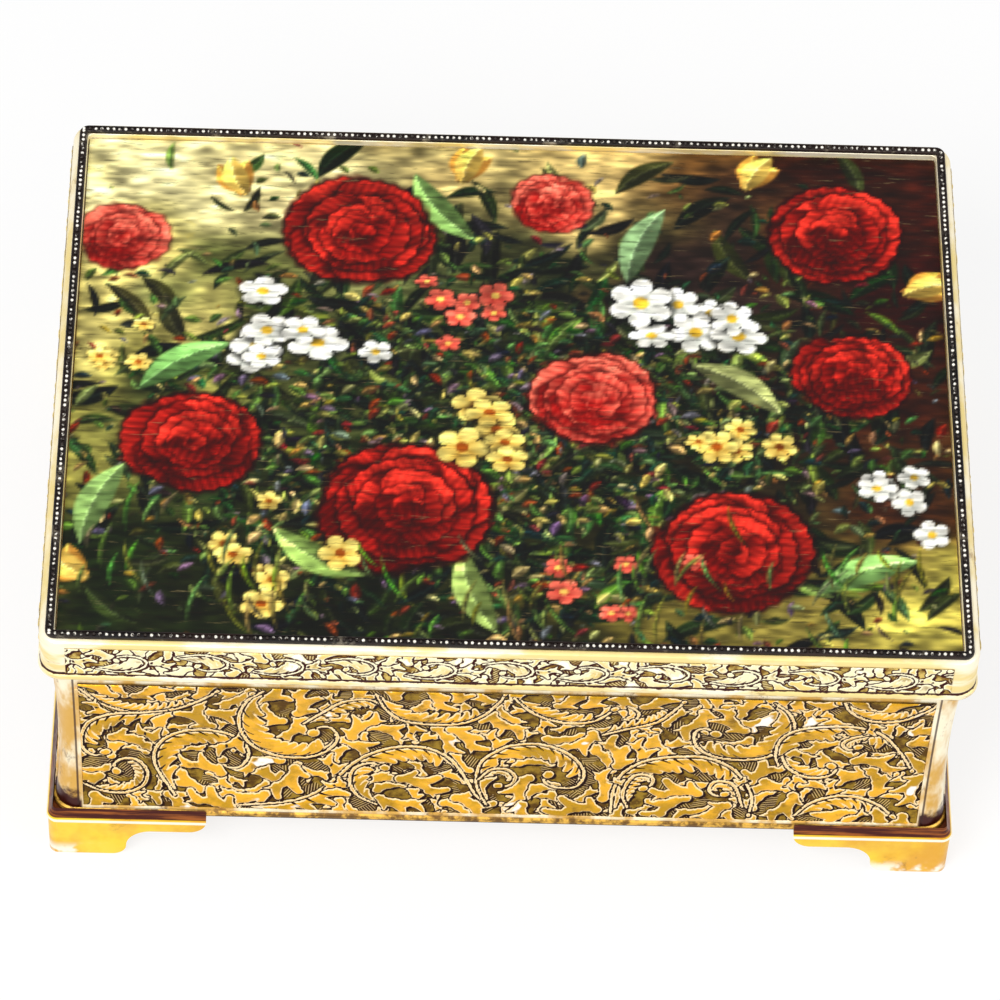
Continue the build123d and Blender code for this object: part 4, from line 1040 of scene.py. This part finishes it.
def painted_picture(half_x, half_y):
    """Full red and rose blooms, small blossoms and pale leaves over a tangle of dark foliage."""
    canvas = Canvas(half_x, half_y, 0.38)
    chance = canvas.chance
    filling_leaves = 1500
    dabs = 2600
    stalks = 90
    canvas.ground((
        (-60, 44, (0.93, 0.89, 0.68)), (-30, 46, (0.95, 0.89, 0.66)), (2, 46, (0.88, 0.78, 0.52)),
        (24, 44, (0.50, 0.36, 0.20)), (48, 44, (0.20, 0.09, 0.06)), (66, 42, (0.24, 0.10, 0.07)),
        (-64, 20, (0.86, 0.80, 0.50)), (-42, 16, (0.34, 0.36, 0.20)), (-20, 22, (0.30, 0.33, 0.20)),
        (8, 18, (0.13, 0.16, 0.10)), (34, 20, (0.18, 0.13, 0.12)), (62, 16, (0.20, 0.06, 0.05)),
        (-66, -8, (0.72, 0.68, 0.36)), (-44, -12, (0.16, 0.20, 0.11)), (-16, -10, (0.09, 0.12, 0.06)),
        (14, -12, (0.08, 0.09, 0.05)), (40, -8, (0.12, 0.10, 0.07)), (64, -10, (0.22, 0.10, 0.06)),
        (-60, -40, (0.12, 0.16, 0.08)), (-30, -42, (0.08, 0.10, 0.05)), (-2, -44, (0.10, 0.11, 0.06)),
        (26, -46, (0.44, 0.40, 0.20)), (46, -46, (0.62, 0.57, 0.30)), (66, -44, (0.80, 0.75, 0.38)),
    ))
    greens = ((0.10, 0.17, 0.10), (0.17, 0.26, 0.12), (0.30, 0.38, 0.18), (0.42, 0.47, 0.24),
              (0.08, 0.12, 0.10))
    for k in range(filling_leaves):
        place = (chance.normal(2, 32), chance.normal(-8, 20))
        lead = pointing(chance.uniform(0, 2 * pi))
        length = chance.uniform(3.0, 11.0) * (1.3 - 0.6 * k / filling_leaves)
        dark = (0.35, 0.6, 1.0, 1.3)[chance.integers(4)] if k > 700 else 0.5
        colour = np.clip(canvas.vary(greens[chance.integers(5)], 0.04) * dark, 0, 1)
        canvas.leaf(place, lead, length, length * chance.uniform(0.16, 0.36), colour)
    specks = greens + ((0.50, 0.42, 0.20), (0.40, 0.36, 0.38), (0.42, 0.16, 0.10), (0.66, 0.60, 0.36))
    for _ in range(dabs):
        place = (chance.normal(-2, 38), chance.normal(-12, 22))
        lead = pointing(chance.normal(0.3, 0.9))
        colour = canvas.vary(specks[chance.integers(9)], 0.06)
        length = chance.uniform(1.2, 3.4)
        canvas.leaf(place, lead, length, length * chance.uniform(0.3, 0.6), colour)
    for x, y, angle in ((-52, 4, 0.6), (-30, -34, 2.6), (20, 30, 1.2), (54, -34, 0.4), (-6, -40, 1.9),
                        (-64, -24, 1.2), (36, 2, -0.6), (-12, 36, 2.2)):
        canvas.leaf((x, y), pointing(angle), 17.0, 5.4, canvas.vary((0.58, 0.68, 0.42), 0.05))
    red = ((0.90, 0.27, 0.21), (0.34, 0.03, 0.03))
    rose = ((0.98, 0.52, 0.43), (0.56, 0.09, 0.08))
    for x, y, radius, shades in ((-49, -12, 9.5, red), (-24, 31, 10.5, red), (-16, -24, 12.0, red),
                                 (13, -2, 9.0, rose), (34, -31, 11.0, red), (52, 33, 10.0, red),
                                 (-62, 29, 6.5, rose), (54, 4, 8.5, red), (6, 38, 6.0, rose)):
        canvas.peony((x, y), radius * 1.08, *shades)
    white = ((0.97, 0.96, 0.92), (0.62, 0.64, 0.60), (0.85, 0.70, 0.25))
    cream = ((0.96, 0.88, 0.52), (0.72, 0.52, 0.18), (0.62, 0.34, 0.10))
    coral = ((0.90, 0.46, 0.38), (0.60, 0.16, 0.14), (0.90, 0.75, 0.40))
    for x, y, spread, count, shades, petals, radius in (
            (-36, 8, 11, 9, white, 5, 4.4), (28, 16, 11, 7, white, 6, 4.8), (-2, -8, 9, 6, cream, 5, 3.8),
            (-38, -32, 12, 8, cream, 5, 3.0), (60, -22, 8, 6, white, 5, 3.2),
            (12, -36, 9, 6, coral, 5, 2.6), (-8, 16, 9, 7, coral, 5, 2.8),
            (-62, 6, 6, 5, cream, 6, 2.8), (34, -8, 8, 5, cream, 6, 3.4)):
        for _ in range(count):
            place = (chance.normal(x, spread / 2), chance.normal(y, spread / 2.4))
            canvas.blossom(place, radius * chance.uniform(0.6, 1.15), petals, *shades)
    for x, y, angle in ((-44, 40, 1.9), (-8, 44, 1.2), (38, 44, 1.0), (-66, -38, 2.4), (64, 22, 0.3)):
        canvas.tulip((x, y), 4.6, pointing(angle), (0.94, 0.80, 0.42), (0.74, 0.44, 0.16))
    for _ in range(stalks):
        place = (chance.uniform(-66, 66), chance.normal(-38, 7))
        lead = turned((0.0, 1.0), chance.uniform(-0.7, 0.7))
        canvas.leaf(place, lead, chance.uniform(4, 10), 0.9, canvas.vary((0.36, 0.40, 0.18), 0.1))
    canvas.rub()
    return canvas


def silk_picture():
    """The printed silk over its card: one thin closed sheet that carries the painting."""
    low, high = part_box("picture_panel")
    hair = 0.00002
    canvas = painted_picture((high.x - hair) / mm, (high.y - hair) / mm)
    rows, cols = canvas.rgb.shape[:2]
    top = [(x * mm, y * mm, high.z) for y in canvas.y for x in canvas.x]
    places, faces = board(top, rows, cols, low.z)
    piece = made_piece("silk", places, faces, "lid", "silk", 50.0)
    layer = piece.data.color_attributes.new(name="paint", type="FLOAT_COLOR", domain="POINT")
    rgba = np.ones((len(places), 4))
    rgba[:len(top), :3] = np.clip(canvas.rgb.reshape(-1, 3), 0, 1) ** 2.2
    rgba[len(top):, :3] = 0.7
    layer.data.foreach_set("color", rgba.ravel())
    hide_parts("picture_panel")


# Softened copies of the rigid nodes

def softened(node, width, finish):
    """The node's own shape with its sharp edges rounded off, in its place."""
    source = frame["nodes"][node]
    piece = opened(node + "_soft", source.data.copy())
    bpy.ops.mesh.remove_doubles(threshold=2e-6)
    bpy.ops.mesh.dissolve_limited(angle_limit=radians(0.6))
    bpy.ops.object.mode_set(mode="OBJECT")
    bevel = piece.modifiers.new("edges", "BEVEL")
    bevel.width = width
    bevel.segments = 3
    bevel.limit_method = "ANGLE"
    bevel.angle_limit = radians(30)
    bpy.ops.object.modifier_apply(modifier=bevel.name)
    bpy.ops.object.shade_smooth_by_angle(angle=radians(34))
    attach(piece, source["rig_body"])
    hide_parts(node)
    dress(piece, finish)


def cushion(name, node, crown, up=True):
    """A padded board: full in the middle, drawn in towards its edges, with a few soft dents."""
    low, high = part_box(node)
    middle = (low + high) / 2
    half = (high - low) / 2
    cols = rows = 120
    chance = np.random.default_rng(9)
    dents = smooth_noise((rows, cols), (9, 9), chance) - 0.5
    x = np.linspace(-1, 1, cols)
    y = np.linspace(-1, 1, rows)
    u, v = np.meshgrid(np.sign(x) * np.abs(x) ** 0.8, np.sign(y) * np.abs(y) ** 0.8)
    full = ((1 - np.abs(u) ** 5) * (1 - np.abs(v) ** 5)) ** 0.4
    rise = (1 - crown) + crown * full * (0.97 + 0.05 * dents)
    base, tip = (low.z, high.z) if up else (high.z, low.z)
    z = base + (tip - base) * rise
    places = [(middle.x + half.x * u[r, c], middle.y + half.y * v[r, c], z[r, c])
              for r in range(rows) for c in range(cols)]
    places, faces = board(places, rows, cols, base)
    if not up:
        faces = [face[::-1] for face in faces]
    piece = made_piece(name, places, faces, frame["nodes"][node]["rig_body"], "velvet", 60.0)
    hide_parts(node)


# The movement's fine pieces

def tune_pins():
    """The rest of the tune's pins, in rows that the comb's teeth pass."""
    low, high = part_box("cylinder")
    middle = (low + high) / 2
    drum_radius = 0.0055
    pin_radius = 0.00014
    pin_height = 0.0005
    pin_foot = 0.0002
    notes = 18
    beats = 60
    pins_per_note = 15
    sides = 6
    chance = np.random.default_rng(4)
    places = []
    faces = []
    for note in range(notes):
        y = low.y + (high.y - low.y) * (note + 0.5) / notes
        for angle in chance.choice(beats, pins_per_note, replace=False) * 2 * pi / beats:
            out = Vector((cos(angle), 0, sin(angle)))
            side = Vector((-sin(angle), 0, cos(angle)))
            start = len(places)
            for reach in (drum_radius - pin_foot, drum_radius + pin_height):
                for k in range(sides):
                    turn = 2 * pi * k / sides
                    point = middle + out * reach + side * pin_radius * cos(turn)
                    places.append((point.x, y + pin_radius * sin(turn), point.z))
            for k in range(sides):
                after = (k + 1) % sides
                faces.append((start + k, start + after, start + sides + after, start + sides + k))
            faces.append(tuple(range(start + sides - 1, start - 1, -1)))
            faces.append(tuple(range(start + sides, start + 2 * sides)))
    made_piece("tune_pins", places, faces, "cylinder_unit", "steel")


def worm_thread():
    """The right-hand thread that runs round the worm."""
    low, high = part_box("worm_shaft")
    x, y = (low.x + high.x) / 2, (low.y + high.y) / 2
    pitch = 0.001571
    root = 0.0006
    crest = 0.00098
    half_width = 0.0004
    middle = 0.0215
    turns = 3.2
    count = 96
    places = []
    faces = []
    for k in range(count + 1):
        angle = 2 * pi * turns * k / count
        z = middle + pitch * turns * (k / count - 0.5)
        for out, up in ((root, -half_width), (crest, 0.0), (root, half_width)):
            places.append((x + out * cos(angle), y + out * sin(angle), z + up))
    for k in range(count):
        a, b = 3 * k, 3 * k + 3
        faces += [(a + i, b + i, b + (i + 1) % 3, a + (i + 1) % 3) for i in range(3)]
    faces += [(0, 1, 2), (3 * count + 2, 3 * count + 1, 3 * count)]
    made_piece("worm_thread", places, faces, "fan_unit", "steel", 25.0)


# Stage, lamps and camera

white = (1, 1, 1, 1)


def shown(tree, share, hidden, seen, output):
    """One shader for what lights the object, another for what is seen behind it.

    The second is shown, at this share, to the camera and in mirrors and panes.
    """
    rays = tree.nodes.new("ShaderNodeLightPath")
    total = rays.outputs["Is Camera Ray"]
    for name in ("Is Glossy Ray", "Is Transmission Ray"):
        add = tree.nodes.new("ShaderNodeMath")
        add.operation = "MAXIMUM"
        tree.links.new(total, add.inputs[0])
        tree.links.new(rays.outputs[name], add.inputs[1])
        total = add.outputs[0]
    scale = tree.nodes.new("ShaderNodeMath")
    scale.operation = "MULTIPLY"
    tree.links.new(total, scale.inputs[0])
    scale.inputs[1].default_value = share
    blend = tree.nodes.new("ShaderNodeMixShader")
    for socket, value in zip(blend.inputs, (scale.outputs[0], hidden, seen)):
        tree.links.new(value, socket)
    tree.links.new(blend.outputs[0], tree.nodes[output].inputs[0])


def stage():
    bpy.ops.mesh.primitive_plane_add(size=6.0, location=(0, 0, 0))
    floor = bpy.context.object
    floor.name = "floor"
    finish = Finish("pale_floor", Roughness=0.9)
    finish.colour(srgb(0.97, 0.97, 0.97))
    glow = finish.tree.nodes.new("ShaderNodeEmission")
    glow.inputs["Color"].default_value = white
    shown(finish.tree, 0.8, finish.shader.outputs[0], glow.outputs[0], "Material Output")
    floor.data.materials.append(finish.material)


def world():
    sky = bpy.data.worlds.new("studio")
    sky.use_nodes = True
    tree = sky.node_tree
    light = tree.nodes["Background"]
    light.inputs["Color"].default_value = white
    light.inputs["Strength"].default_value = 0.55
    backdrop = tree.nodes.new("ShaderNodeBackground")
    backdrop.inputs["Color"].default_value = white
    shown(tree, 1.0, light.outputs[0], backdrop.outputs[0], "World Output")
    bpy.context.scene.world = sky


def lamp(name, place, size, power):
    """A square lamp turned to the object's middle."""
    data = bpy.data.lights.new(name, "AREA")
    data.size = size
    data.energy = power
    made = bpy.data.objects.new(name, data)
    made.location = place
    aim = Vector((0, 0, 0.03)) - Vector(place)
    made.rotation_euler = aim.to_track_quat("-Z", "Y").to_euler()
    bpy.context.scene.collection.objects.link(made)


def camera():
    level_run = cos(camera_down)
    ahead = Vector((sin(camera_right) * level_run, cos(camera_right) * level_run, -sin(camera_down)))
    level = ahead.cross(Vector((0, 0, 1))).normalized()
    upright = level.cross(ahead)
    right = level * cos(camera_roll) + upright * sin(camera_roll)
    up = right.cross(ahead)
    data = bpy.data.cameras.new("camera")
    data.lens = camera_lens
    data.sensor_width = sensor_width
    data.clip_start = 0.01
    made = bpy.data.objects.new("camera", data)
    turn = Matrix((right, up, -ahead)).transposed().to_4x4()
    made.matrix_world = Matrix.Translation(camera_place) @ turn
    bpy.context.scene.collection.objects.link(made)
    bpy.context.scene.camera = made


# What is shown

stage()
world()
lamp("key_lamp", (-0.35, -0.55, 0.75), size=0.45, power=6.5)
lamp("fill_lamp", (0.6, -0.35, 0.5), size=0.6, power=2.0)
camera()
for node, item in frame["nodes"].items():
    dress(item, slot_finish[slots[node]])
body_panels()
lid_bands()
gallery()
silk_picture()
softened("body_shell", 0.00022, "pillar")
softened("lid_frame", 0.00025, "lid")
for node in ("foot_front_left", "foot_front_right", "foot_back_left", "foot_back_right"):
    softened(node, 0.00022, "foot")
for node in ("well_lining", "movement_surround", "movement_deck"):
    softened(node, 0.0005, "velvet")
for node in ("bottom_plate", "winding_key", "hinge_body_leaf", "hinge_lid_leaf", "bedplate",
             "spring_housing", "bearing_front", "bearing_back", "governor_bracket"):
    softened(node, 0.0002, slot_finish[slots[node]])
softened("movement_window", 0.0001, "glass")
cushion("floor_cushion", "well_floor_pad", crown=0.6)
cushion("lid_cushion", "lid_lining", crown=0.5, up=False)
tune_pins()
worm_thread()

bpy.context.scene.view_settings.view_transform = "Standard"
